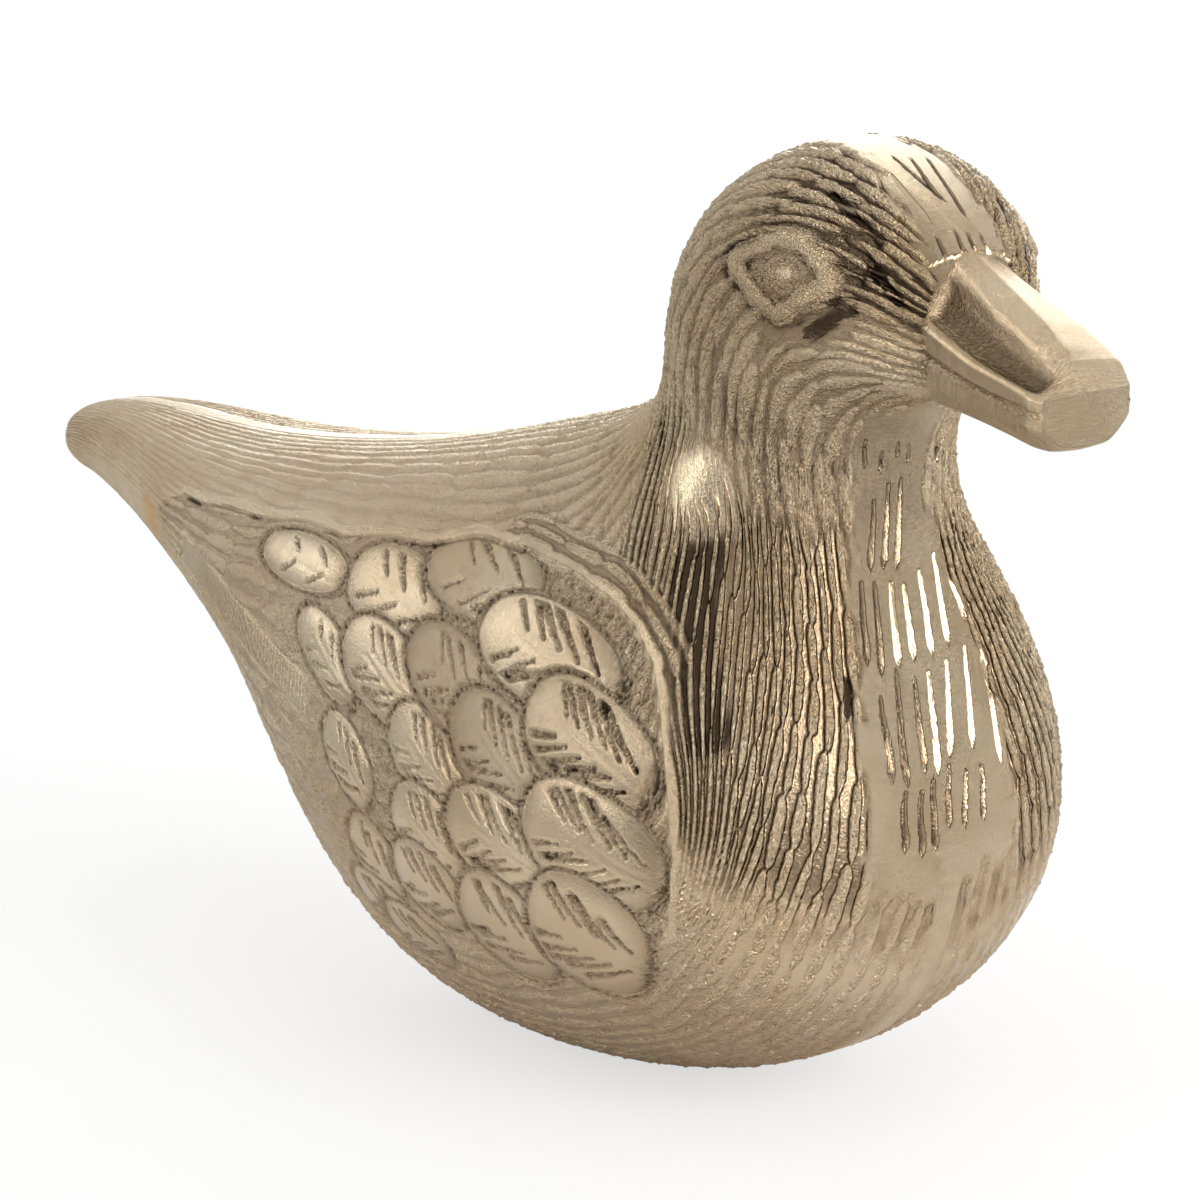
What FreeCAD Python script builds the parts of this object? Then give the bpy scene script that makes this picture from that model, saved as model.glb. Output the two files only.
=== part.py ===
import FreeCAD, Part
import math
import os
import Sketcher
from FreeCAD import Vector

# A hollow cast duck, cast in a right and a left half that are welded round the middle plane.
# The duck looks along +X, +Y is its own left side and +Z is up.
# The origin is under the middle of its length and width, on the surface that it stands on.

doc = FreeCAD.newDocument("duck")

# Driving sizes, in millimetres
SIZES = [
    ("body_length", 253.4, "from the tail's end to the root of the bill"),
    ("body_width", 103.2, "across both flanks"),
    ("casting_height", 165.8, "from the flat underside to the crown"),
    ("wall", 4.0, "thickness of the casting"),
    ("bill_length", 26.6, "from the root of the bill to its blunt tip"),
    ("bill_width", 22.8, "across the blunt tip"),
    ("bill_height", 24.5, "from the underside of the bill to its crest, at the root"),
    ("mouth_height", 1.6, "opening of the groove between the two halves of the bill"),
    ("mouth_depth", 1.1, "depth of that groove"),
    ("eye_length", 11.4, "length of the raised eye"),
    ("eye_height", 7.6, "height of the raised eye"),
    ("eye_stand", 1.5, "how far the eye stands out of the head"),
    ("eye_tilt", 15.0, "degrees by which the eye dips towards the bill"),
    ("carving_depth", 0.7, "depth of the carved forms"),
    ("carving_width", 1.6, "width of a carved groove"),
    ("carving_pitch", 11.0, "between the main grooves of the back and the head"),
    ("weld_width", 3.0, "width of the weld at the surface"),
    ("weld_depth", 2.5, "depth of the weld, less than the wall"),
    ("pad_diameter", 10.0, "diameter of a soft pad"),
    ("pad_height", 2.0, "thickness of a soft pad"),
    ("pad_edge", 0.7, "rounding of a pad's lower edge"),
    ("front_pad_spread", 26.4, "between the middles of the two front pads"),
    ("rear_pad_spread", 13.2, "between the middles of the two rear pads"),
    ("pad_stagger", 19.0, "between the middles of the front and rear pads"),
    ("overrun", 8.0, "how far a cutting block reaches past what it cuts"),
]

sheet = doc.addObject("Spreadsheet::Sheet", "sizes")
for row, (alias, number, note) in enumerate(SIZES, start=1):
    sheet.set(f"A{row}", alias)
    sheet.set(f"B{row}", str(number))
    sheet.set(f"C{row}", note)
    sheet.setAlias(f"B{row}", alias)
doc.recompute()


def size(alias):
    return float(sheet.get(alias))


body_length = size("body_length")
body_width = size("body_width")
casting_height = size("casting_height")
bill_length = size("bill_length")
bill_width = size("bill_width")
bill_height = size("bill_height")
base_z = size("pad_height")
tail_x = -(body_length + bill_length) / 2
root_x = tail_x + body_length

# The skin is one smooth surface through a row of rings, from the tail to the front of the face.
# Each ring lies between a top point and a bottom point on the middle plane.
# Shares of body_length and casting_height place the two points: top x, top z, bottom x, bottom z.
# Shares of body_width give the half width at three levels: upper, side, lower.
RING_SHARES = [
    (0.000, 0.498, 0.010, 0.445, 0.040, 0.060, 0.040),
    (0.006, 0.508, 0.022, 0.433, 0.060, 0.088, 0.058),
    (0.041, 0.533, 0.064, 0.430, 0.092, 0.120, 0.083),
    (0.120, 0.543, 0.154, 0.385, 0.138, 0.185, 0.111),
    (0.218, 0.541, 0.270, 0.291, 0.203, 0.264, 0.148),
    (0.323, 0.557, 0.390, 0.168, 0.277, 0.354, 0.190),
    (0.429, 0.586, 0.484, 0.000, 0.314, 0.452, 0.286),
    (0.538, 0.632, 0.628, -0.072, 0.332, 0.530, 0.372),
    (0.620, 0.684, 0.835, -0.045, 0.323, 0.572, 0.410),
    (0.680, 0.713, 0.980, 0.076, 0.304, 0.562, 0.444),
    (0.729, 0.736, 1.023, 0.300, 0.240, 0.425, 0.350),
    (0.756, 0.764, 0.957, 0.517, 0.221, 0.264, 0.212),
    (0.769, 0.810, 0.932, 0.640, 0.221, 0.268, 0.203),
    (0.780, 0.879, 0.944, 0.713, 0.250, 0.290, 0.221),
    (0.811, 0.984, 0.970, 0.736, 0.252, 0.294, 0.221),
    (0.895, 1.029, 0.989, 0.747, 0.221, 0.286, 0.203),
    (0.966, 0.983, 1.000, 0.747, 0.157, 0.221, 0.166),
    (1.004, 0.914, 1.011, 0.753, 0.092, 0.129, 0.111),
]
# How far down each ring its upper, side and lower levels lie, as shares of the ring's height
LEVEL_SHARES = [
    (0.10, 0.50, 0.90),
    (0.10, 0.50, 0.90),
    (0.10, 0.50, 0.90),
    (0.05, 0.45, 0.90),
    (0.05, 0.42, 0.90),
    (0.05, 0.42, 0.90),
    (0.05, 0.46, 0.89),
    (0.08, 0.50, 0.87),
    (0.12, 0.55, 0.87),
    (0.15, 0.57, 0.88),
    (0.12, 0.50, 0.86),
    (0.10, 0.50, 0.88),
    (0.10, 0.50, 0.88),
    (0.12, 0.50, 0.88),
    (0.15, 0.50, 0.88),
    (0.15, 0.50, 0.88),
    (0.15, 0.50, 0.88),
    (0.15, 0.50, 0.88),
]
# The hollow starts at the fifth ring, where the tail is thick enough, and the weld's core at the third
HOLLOW_RING_SHARES = RING_SHARES[4:]
HOLLOW_LEVEL_SHARES = LEVEL_SHARES[4:]
CORE_RING_SHARES = RING_SHARES[2:]
CORE_LEVEL_SHARES = LEVEL_SHARES[2:]

# Sections of the bill, from inside the face to the tip. Its top is ground wider on the duck's left.
# Share of bill_length: place from the root.
# Shares of bill_height: crest, rim, lip, under, keel, right shoulder, left shoulder.
# Shares of bill_width: rim, lip, under, right shoulder, left shoulder.
BILL_SHARES = [
    (-0.286, (1.050, 0.553, 0.170, 0.020, 0.000, 0.990, 0.960), (0.530, 0.520, 0.360, 0.200, 0.240)),
    (0.000, (0.990, 0.520, 0.150, 0.000, -0.020, 0.945, 0.905), (0.520, 0.510, 0.360, 0.190, 0.240)),
    (0.214, (0.864, 0.400, 0.125, -0.031, -0.058, 0.815, 0.780), (0.500, 0.500, 0.360, 0.200, 0.270)),
    (0.429, (0.732, 0.304, 0.078, -0.082, -0.109, 0.672, 0.650), (0.490, 0.490, 0.320, 0.225, 0.325)),
    (0.643, (0.600, 0.252, 0.035, -0.132, -0.156, 0.553, 0.530), (0.490, 0.490, 0.300, 0.196, 0.385)),
    (0.821, (0.462, 0.222, 0.000, -0.179, -0.202, 0.447, 0.405), (0.500, 0.500, 0.300, 0.133, 0.430)),
    (0.911, (0.366, 0.208, -0.012, -0.185, -0.206, 0.355, 0.330), (0.500, 0.500, 0.300, 0.092, 0.450)),
    (1.000, (0.200, 0.190, -0.023, -0.190, -0.210, 0.198, 0.194), (0.490, 0.490, 0.290, 0.063, 0.455)),
]
CORE_BILL_SHARES = [BILL_SHARES[0], BILL_SHARES[1], BILL_SHARES[4]]
bill_foot_share = 0.763
mouth_share = 0.50
eye_x_share = 0.943
eye_z_share = 0.891
pads_middle_share = 0.61

# Side view of the carved wing, as shares of body_length and casting_height
WING_SHARES = [
    (0.290, 0.492), (0.433, 0.506), (0.537, 0.525), (0.647, 0.550), (0.707, 0.560), (0.779, 0.554),
    (0.830, 0.538), (0.866, 0.502), (0.886, 0.454), (0.900, 0.390), (0.909, 0.306), (0.903, 0.223),
    (0.870, 0.170), (0.794, 0.150), (0.685, 0.140), (0.590, 0.140), (0.530, 0.180), (0.460, 0.270),
    (0.360, 0.370), (0.290, 0.450),
]
# Feathers that stand up in the wing: x as a share of body_length, z of casting_height,
# length and width of body_length, and the degrees by which they rise towards the rear
FEATHER_SHARES = [
    (0.782, 0.484, 0.136, 0.046, 6), (0.845, 0.400, 0.108, 0.043, 13),
    (0.852, 0.301, 0.110, 0.047, 14), (0.847, 0.207, 0.090, 0.046, 17),
    (0.686, 0.432, 0.090, 0.040, 17), (0.757, 0.361, 0.088, 0.036, 20),
    (0.762, 0.283, 0.094, 0.040, 8), (0.762, 0.203, 0.078, 0.036, 17),
    (0.606, 0.408, 0.078, 0.036, 14), (0.675, 0.340, 0.070, 0.034, 22),
    (0.678, 0.270, 0.064, 0.030, 18), (0.678, 0.207, 0.066, 0.028, 8),
    (0.674, 0.519, 0.096, 0.036, -3), (0.585, 0.490, 0.080, 0.036, 2),
    (0.402, 0.402, 0.180, 0.020, 13), (0.482, 0.462, 0.110, 0.024, 8),
    (0.520, 0.405, 0.062, 0.020, 75), (0.482, 0.310, 0.086, 0.020, 21),
    (0.575, 0.272, 0.080, 0.026, 73),
]
# Main strokes of the breast and neck: a share of a full turn from the front about the breast's
# middle, and the heights between which they run, as shares of casting_height
breast_middle_share = 0.80
STROKE_SHARES = [
    (0.072, 0.160, 0.660), (0.106, 0.160, 0.660), (0.139, 0.160, 0.660),
    (0.208, 0.600, 0.660), (0.278, 0.600, 0.660), (0.347, 0.600, 0.660),
]
# Main strokes along the back: distance from the middle as a share of carving_pitch,
# and the places between which they run, as shares of body_length
BACK_SHARES = [(0.75, 0.080, 0.660), (1.75, 0.220, 0.660)]
back_height_share = 0.49
# Main strokes round the eye: distance from the eye's rim, as shares of carving_pitch
RING_STROKE_SHARES = [0.65, 1.65, 2.65]
ring_start_share = 0.60


def inset_ring(top, bottom, widths, inset):
    """A ring's points and half widths, drawn in by a wall."""
    down = (bottom - top).normalize()
    upper, side, lower = widths
    kept = (side - inset) / side
    return top + down * inset, bottom - down * inset, (upper * kept, side * kept, lower * kept)


def skin_rings(inset, ring_shares, level_shares):
    """The rings' control points, drawn in by inset."""
    ends = []
    for top_x, top_z, bottom_x, bottom_z, *width_shares in ring_shares:
        top = Vector(tail_x + top_x * body_length, 0, base_z + top_z * casting_height)
        bottom = Vector(tail_x + bottom_x * body_length, 0, base_z + bottom_z * casting_height)
        ends.append((top, bottom, [share * body_width for share in width_shares]))
    if inset:
        moved = []
        for index, (top, bottom, widths) in enumerate(ends):
            along = Vector(0, 0, 0)
            if index == 0:
                along = (ends[1][0] + ends[1][1] - top - bottom).normalize() * inset
            if index == len(ends) - 1:
                along = (ends[-2][0] + ends[-2][1] - top - bottom).normalize() * inset
            moved.append(inset_ring(top + along, bottom + along, widths, inset))
        ends = moved
    rings = []
    for (top, bottom, widths), levels in zip(ends, level_shares):
        right = []
        for level, width in zip(levels, widths):
            right.append(top + (bottom - top) * level - Vector(0, width, 0))
        left = [Vector(point.x, -point.y, point.z) for point in reversed(right)]
        rings.append([top] + right + [bottom] + left)
    return rings


def skin_solid(inset, ring_shares, level_shares):
    """A closed solid inside a smooth surface that starts and ends on its end rings."""
    rings = skin_rings(inset, ring_shares, level_shares)
    start = [(a * 2 + b) * (1 / 3) for a, b in zip(rings[0], rings[1])]
    end = [(a * 2 + b) * (1 / 3) for a, b in zip(rings[-1], rings[-2])]
    poles = [rings[0], start] + rings[1:-1] + [end, rings[-1]]
    spans = len(rings) - 1
    around = len(rings[0])
    surface = Part.BSplineSurface()
    surface.buildFromPolesMultsKnots(
        poles, [4] + [1] * (spans - 1) + [4], [1] * (around + 1),
        list(range(spans + 1)), list(range(around + 1)), False, True, 3, 3)
    faces = [surface.toShape()]
    for where in (0, spans):
        faces.append(Part.Face(Part.Wire(surface.uIso(where).toShape())))
    shell = Part.makeShell(faces)
    shell.sewShape()
    solid = Part.makeSolid(shell)
    if solid.Volume < 0:
        solid.reverse()
    return solid


def closed_outline(x, across):
    """A closed outline across the bill at x, through (y, z) points."""
    points = [Vector(x, y, z) for y, z in across]
    return Part.makePolygon(points + points[:1])


def bill_level(share):
    return base_z + bill_foot_share * casting_height + share * bill_height


def bill_section(shares):
    """The bill's outline at one place: crest, shoulders, rims, mouth, lips and keel."""
    x, height_shares, width_shares = shares
    crest, rim, lip, under, keel, right_shoulder, left_shoulder = map(bill_level, height_shares)
    y_rim, y_lip, y_under, y_right, y_left = [share * bill_width for share in width_shares]
    mouth = rim + (lip - rim) * mouth_share
    gap = size("mouth_height") / 2
    side = [
        (y_rim, rim),
        (y_rim, mouth + gap),
        (y_rim - size("mouth_depth"), mouth),
        (y_lip, mouth - gap),
        (y_lip, lip),
        (y_under, under),
    ]
    across = [(0, crest), (y_left, left_shoulder)] + side + [(0, keel)]
    across += [(-y, z) for y, z in reversed(side)] + [(-y_right, right_shoulder)]
    return closed_outline(root_x + x * bill_length, across)


def core_section(x, shares):
    """What the weld leaves of the bill near the middle plane, at one place."""
    top = bill_level(shares[1][0]) - size("weld_depth")
    foot = bill_level(shares[1][4]) + size("weld_depth")
    half = size("weld_width")
    return closed_outline(x, [(half, top), (half, foot), (-half, foot), (-half, top)])


def loft(label, outlines):
    """A solid through outlines across the bill."""
    wires = []
    for index, outline in enumerate(outlines, start=1):
        wires.append(feature(f"{label}_outline_{index}", outline))
    made = doc.addObject("Part::Loft", label)
    made.Sections = wires
    made.Solid = True
    made.Ruled = False
    return made


def feature(label, shape):
    made = doc.addObject("Part::Feature", label)
    made.Shape = shape
    return made


def bind(made, **expressions):
    """Tie an object's properties to cells of the sheet."""
    for name, expression in expressions.items():
        made.setExpression(name.replace("__", "."), expression)
    return made


def boolean(kind, label, base, tool):
    made = doc.addObject(f"Part::{kind}", label)
    made.Base = base
    made.Tool = tool
    return made


def fuse(label, *shapes):
    made = doc.addObject("Part::MultiFuse", label)
    made.Shapes = list(shapes)
    return made


# Blocks that cut the casting, all bound to the sheet
WHOLE = "(<<sizes>>.body_length + <<sizes>>.bill_length + 2 * <<sizes>>.overrun)"
TALL = "(<<sizes>>.casting_height + 2 * <<sizes>>.overrun)"
WIDE = "(<<sizes>>.body_width / 2 + <<sizes>>.overrun)"


def block(label, y_from, wide, z_from):
    made = doc.addObject("Part::Box", label)
    return bind(made, Length=WHOLE, Width=wide, Height=TALL,
                Placement__Base__x=f"-{WHOLE} / 2", Placement__Base__y=y_from, Placement__Base__z=z_from)


right_block = block("right_block", f"-{WIDE}", WIDE, "<<sizes>>.pad_height")
left_block = block("left_block", "0", WIDE, "<<sizes>>.pad_height")
above_floor = block("above_floor", f"-{WIDE}", f"2 * {WIDE}", "<<sizes>>.pad_height + <<sizes>>.wall")
above_core = block("above_core", f"-{WIDE}", f"2 * {WIDE}", "<<sizes>>.pad_height + <<sizes>>.weld_depth")
above_base = block("above_base", f"-{WIDE}", f"2 * {WIDE}", "<<sizes>>.pad_height")
weld_slab = block("weld_slab", "-<<sizes>>.weld_width / 2", "<<sizes>>.weld_width", "<<sizes>>.pad_height")

# The outer form: skin, bill and eyes
skin = feature("skin_form", skin_solid(0, RING_SHARES, LEVEL_SHARES))
bill = loft("bill_form", [bill_section(shares) for shares in BILL_SHARES])


def eye(label, side):
    """A raised eye, seated on the side of the head."""
    x = tail_x + eye_x_share * body_length
    z = base_z + eye_z_share * casting_height
    probe = Part.makeLine(Vector(x, 0, z), Vector(x, side * body_width, z))
    seat = skin.Shape.common(probe).BoundBox
    seat_y = seat.YMax if side > 0 else seat.YMin
    made = doc.addObject("Part::Ellipsoid", label)
    bind(made, Radius2="<<sizes>>.eye_length / 2", Radius1="<<sizes>>.eye_height / 2",
         Radius3="2 * <<sizes>>.eye_stand")
    made.Angle1 = -90
    made.Angle2 = 90
    made.Angle3 = 360
    inwards = -side * size("eye_stand")
    made.Placement = FreeCAD.Placement(
        Vector(x, seat_y + inwards, z), FreeCAD.Rotation(Vector(0, 1, 0), size("eye_tilt")))
    return made


right_eye = eye("right_eye", -1)
left_eye = eye("left_eye", 1)
outer = fuse("outer_form", skin, bill, right_eye, left_eye)
uncarved = boolean("Common", "uncarved_form", outer, above_base)

# The carved forms: everything outside a skin that lies carving_depth deeper is cut away there
carved_skin = feature("carved_skin", skin_solid(size("carving_depth"), RING_SHARES, LEVEL_SHARES))
reach = body_width / 2 + size("overrun")
mid = Vector(0, 0, 0)


def side_point(x_share, z_share):
    return Vector(tail_x + x_share * body_length, 0, base_z + z_share * casting_height)


def wing_field():
    """The wing's smooth outline, drawn out past the right flank."""
    edge = Part.BSplineCurve()
    edge.interpolate([side_point(*shares) for shares in WING_SHARES], PeriodicFlag=True)
    return Part.Face(Part.Wire(edge.toShape())).extrude(Vector(0, -reach, 0))


def feather(x_share, z_share, length_share, width_share, rise):
    """One oval feather of the wing, drawn out past the right flank."""
    oval = Part.Ellipse(mid, length_share * body_length / 2, width_share * body_length / 2)
    made = Part.Face(Part.Wire(oval.toShape())).extrude(Vector(0, 0, reach))
    made.rotate(mid, Vector(0, 0, 1), -rise)
    made.rotate(mid, Vector(1, 0, 0), 90)
    made.translate(side_point(x_share, z_share))
    return made


def standing_stroke(turn_share, low_share, high_share):
    """A slab that leaves an upright groove in the breast or neck, on the right."""
    half = size("carving_width") / 2
    tall = (high_share - low_share) * casting_height
    slab = Part.makeBox(body_width, size("carving_width"), tall,
                        Vector(size("carving_pitch"), -half, base_z + low_share * casting_height))
    slab.rotate(mid, Vector(0, 0, 1), -360 * turn_share)
    slab.translate(Vector(tail_x + breast_middle_share * body_length, 0, 0))
    return slab


def back_stroke(across_share, from_share, to_share):
    """A slab that leaves a groove along the back, on the right."""
    half = size("carving_width") / 2
    y = -across_share * size("carving_pitch") - half
    low = base_z + back_height_share * casting_height
    return Part.makeBox((to_share - from_share) * body_length, size("carving_width"), casting_height,
                        Vector(tail_x + from_share * body_length, y, low))


def ring_stroke(away_share):
    """A round wall that leaves a groove about the eye, on the right, short of the bill."""
    near = size("eye_length") / 2 + away_share * size("carving_pitch") - size("carving_width") / 2
    start = side_point(eye_x_share, eye_z_share) - Vector(0, ring_start_share * size("carving_pitch"), 0)
    out = Vector(0, -1, 0)
    wall = Part.makeCylinder(near + size("carving_width"), reach, start, out)
    wall = wall.cut(Part.makeCylinder(near, reach, start, out))
    corner = Vector(tail_x, -body_width, 0)
    behind = Part.makeBox(start.x + size("eye_length") / 2 - tail_x, body_width, 2 * casting_height, corner)
    return wall.common(behind)


right_field = boolean("Cut", "right_wing_field", feature("right_wing_outline", wing_field()),
                      feature("right_feathers", Part.makeCompound([feather(*row) for row in FEATHER_SHARES])))
strokes = [standing_stroke(*row) for row in STROKE_SHARES] + [back_stroke(*row) for row in BACK_SHARES]
strokes += [ring_stroke(share) for share in RING_STROKE_SHARES]
right_strokes = feature("right_strokes", Part.makeCompound(strokes))
carvings = []
for label, form in (("wing", right_field), ("strokes", right_strokes)):
    carved = boolean("Cut", f"right_{label}_carving", form, carved_skin)
    mirrored = doc.addObject("Part::Mirroring", f"left_{label}_carving")
    mirrored.Source = carved
    mirrored.Normal = Vector(0, 1, 0)
    carvings += [carved, mirrored]
blank = boolean("Cut", "ground_form", uncarved, fuse("carving", *carvings))

# The hollow inside, and the core that the weld stops at
hollow_solid = skin_solid(size("wall"), HOLLOW_RING_SHARES, HOLLOW_LEVEL_SHARES)
hollow = boolean("Common", "hollow_form", feature("hollow_skin", hollow_solid), above_floor)
core_solid = skin_solid(size("weld_depth"), CORE_RING_SHARES, CORE_LEVEL_SHARES)
core_skin = feature("core_skin", core_solid)
core_outlines = [core_section(root_x + shares[0] * bill_length, shares) for shares in CORE_BILL_SHARES]
core_end_x = root_x + bill_length - size("weld_depth")
core_outlines.append(core_section(core_end_x, BILL_SHARES[-2]))
core_bill = loft("core_bill", core_outlines)
core = boolean("Common", "core_form", fuse("core_whole", core_skin, core_bill), above_core)
weld_cut = boolean("Cut", "weld_cut", weld_slab, core)


def casting(label, side_block):
    """One half of the casting: its half of the form, hollowed, with its side of the weld's groove."""
    half = boolean("Common", f"{label}_half", blank, side_block)
    hollowed = boolean("Cut", f"{label}_hollowed", half, hollow)
    return boolean("Cut", label, hollowed, weld_cut)


right_casting = casting("right_casting", right_block)
left_casting = casting("left_casting", left_block)
seam_weld = boolean("Common", "seam_weld", blank, weld_cut)


def plane_of(body, role):
    return next(item for item in body.Origin.OriginFeatures if item.Role == role)


def pad(label, x_sign, y_sign, spread):
    """A soft round pad, stuck under the flat base."""
    body = doc.addObject("PartDesign::Body", label)
    sketch = body.newObject("Sketcher::SketchObject", f"{label}_outline")
    sketch.AttachmentSupport = [(plane_of(body, "XY_Plane"), "")]
    sketch.MapMode = "FlatFace"
    sketch.addGeometry(Part.Circle(Vector(0, 0, 0), Vector(0, 0, 1), size("pad_diameter") / 2))
    sketch.addConstraint(Sketcher.Constraint("Coincident", 0, 3, -1, 1))
    sketch.addConstraint(Sketcher.Constraint("Diameter", 0, size("pad_diameter")))
    sketch.setExpression("Constraints[1]", "<<sizes>>.pad_diameter")
    disc = body.newObject("PartDesign::Pad", f"{label}_disc")
    disc.Profile = sketch
    disc.setExpression("Length", "<<sizes>>.pad_height")
    doc.recompute()
    lower = [f"Edge{index + 1}" for index, edge in enumerate(disc.Shape.Edges)
             if math.isclose(edge.BoundBox.ZMax, 0, abs_tol=1e-6)]
    rounded = body.newObject("PartDesign::Fillet", f"{label}_edge")
    rounded.Base = (disc, lower)
    rounded.setExpression("Radius", "<<sizes>>.pad_edge")
    body.Tip = rounded
    middle = (f"({pads_middle_share} * <<sizes>>.body_length"
              " - (<<sizes>>.body_length + <<sizes>>.bill_length) / 2)")
    bind(body, Placement__Base__x=f"{middle} + {x_sign} * <<sizes>>.pad_stagger / 2",
         Placement__Base__y=f"{y_sign} * <<sizes>>.{spread} / 2")
    return body


pads = [pad(f"{end}_{side}_pad", x_sign, y_sign, f"{end}_pad_spread")
        for end, x_sign in (("front", 1), ("rear", -1))
        for side, y_sign in (("right", -1), ("left", 1))]

doc.recompute()

PIECES = [right_casting, left_casting, seam_weld] + pads
for made in doc.Objects:
    if "Invalid" in made.State or "Error" in made.State:
        raise RuntimeError(f"{made.Label} did not compute: {made.State}")
for piece in PIECES:
    if piece.Shape.isNull() or not piece.Shape.isValid():
        raise RuntimeError(f"{piece.Label} has no valid shape")

os.makedirs("parts", exist_ok=True)
for piece in PIECES:
    piece.Shape.exportStep(os.path.join("parts", f"{piece.Label}.step"))
    box = piece.Shape.BoundBox
    print(piece.Label, "solids", len(piece.Shape.Solids), "volume", round(piece.Shape.Volume, 1),
          "x", round(box.XMin, 2), round(box.XMax, 2), "y", round(box.YMin, 2), round(box.YMax, 2),
          "z", round(box.ZMin, 2), round(box.ZMax, 2))
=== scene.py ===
"""A hollow cast brass duck, dressed with its strokes, feathers and ground faces, on a plain floor."""

import bpy
import numpy as np
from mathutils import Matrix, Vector


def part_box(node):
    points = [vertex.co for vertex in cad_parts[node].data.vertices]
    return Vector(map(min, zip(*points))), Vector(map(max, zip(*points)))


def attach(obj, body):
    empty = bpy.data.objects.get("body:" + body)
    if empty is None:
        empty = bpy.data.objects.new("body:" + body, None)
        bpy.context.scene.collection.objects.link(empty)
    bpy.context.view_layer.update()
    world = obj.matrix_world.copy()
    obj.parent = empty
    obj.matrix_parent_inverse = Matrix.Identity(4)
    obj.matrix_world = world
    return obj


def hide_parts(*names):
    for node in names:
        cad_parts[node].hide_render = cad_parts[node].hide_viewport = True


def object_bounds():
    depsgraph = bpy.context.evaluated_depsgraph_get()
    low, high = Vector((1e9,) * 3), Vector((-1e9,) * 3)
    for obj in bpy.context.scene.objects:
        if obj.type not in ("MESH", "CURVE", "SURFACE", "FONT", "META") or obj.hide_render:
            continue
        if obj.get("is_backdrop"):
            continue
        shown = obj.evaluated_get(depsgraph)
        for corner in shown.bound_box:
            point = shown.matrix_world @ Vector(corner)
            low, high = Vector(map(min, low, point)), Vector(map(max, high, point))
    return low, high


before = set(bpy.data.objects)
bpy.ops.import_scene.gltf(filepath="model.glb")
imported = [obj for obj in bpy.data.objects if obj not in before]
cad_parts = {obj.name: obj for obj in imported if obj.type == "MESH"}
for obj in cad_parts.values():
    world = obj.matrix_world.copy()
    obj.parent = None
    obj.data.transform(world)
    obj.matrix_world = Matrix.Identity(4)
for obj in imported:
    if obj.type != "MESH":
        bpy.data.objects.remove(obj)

cad_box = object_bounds()

MM = 0.001
MIRROR = np.array([1, -1, 1])

# Sizes of the casting, in millimetres, as in the part's own source
BODY_LENGTH = 253.4
BODY_WIDTH = 103.2
CASTING_HEIGHT = 165.8
WALL = 4.0
BILL_LENGTH = 26.6
BILL_WIDTH = 22.8
BILL_HEIGHT = 24.5
WELD_WIDTH = 3.0
WELD_DEPTH = 2.5
PAD_DIAMETER = 10.0
PAD_HEIGHT = 2.0
PAD_EDGE = 0.7
TAIL_X = -(BODY_LENGTH + BILL_LENGTH) / 2
ROOT_X = TAIL_X + BODY_LENGTH
BASE_Z = PAD_HEIGHT
# The dressed skin stays inside the casting's own box: half its breadth, and the tip of the bill
BROADEST = 51.88
FOREMOST = 139.95

# Rings of the skin: top x, top z, bottom x, bottom z, then half widths at the upper, side and lower levels
RING_SHARES = [
    (0.000, 0.498, 0.010, 0.445, 0.040, 0.060, 0.040),
    (0.006, 0.508, 0.022, 0.433, 0.060, 0.088, 0.058),
    (0.041, 0.533, 0.064, 0.430, 0.092, 0.120, 0.083),
    (0.120, 0.543, 0.154, 0.385, 0.138, 0.185, 0.111),
    (0.218, 0.541, 0.270, 0.291, 0.203, 0.264, 0.148),
    (0.323, 0.557, 0.390, 0.168, 0.277, 0.354, 0.190),
    (0.429, 0.586, 0.484, 0.000, 0.314, 0.452, 0.286),
    (0.538, 0.632, 0.628, -0.072, 0.332, 0.530, 0.372),
    (0.620, 0.684, 0.835, -0.045, 0.323, 0.572, 0.410),
    (0.680, 0.713, 0.980, 0.076, 0.304, 0.562, 0.444),
    (0.729, 0.736, 1.023, 0.300, 0.240, 0.425, 0.350),
    (0.756, 0.764, 0.957, 0.517, 0.221, 0.264, 0.212),
    (0.769, 0.810, 0.932, 0.640, 0.221, 0.268, 0.203),
    (0.780, 0.879, 0.944, 0.713, 0.250, 0.290, 0.221),
    (0.811, 0.984, 0.970, 0.736, 0.252, 0.294, 0.221),
    (0.895, 1.029, 0.989, 0.747, 0.221, 0.286, 0.203),
    (0.966, 0.983, 1.000, 0.747, 0.157, 0.221, 0.166),
    (1.004, 0.914, 1.011, 0.753, 0.092, 0.129, 0.111),
]
LEVEL_SHARES = [
    (0.10, 0.50, 0.90), (0.10, 0.50, 0.90), (0.10, 0.50, 0.90),
    (0.05, 0.45, 0.90), (0.05, 0.42, 0.90), (0.05, 0.42, 0.90),
    (0.05, 0.46, 0.89), (0.08, 0.50, 0.87), (0.12, 0.55, 0.87),
    (0.15, 0.57, 0.88), (0.12, 0.50, 0.86), (0.10, 0.50, 0.88),
    (0.10, 0.50, 0.88), (0.12, 0.50, 0.88), (0.15, 0.50, 0.88),
    (0.15, 0.50, 0.88), (0.15, 0.50, 0.88), (0.15, 0.50, 0.88),
]
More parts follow.
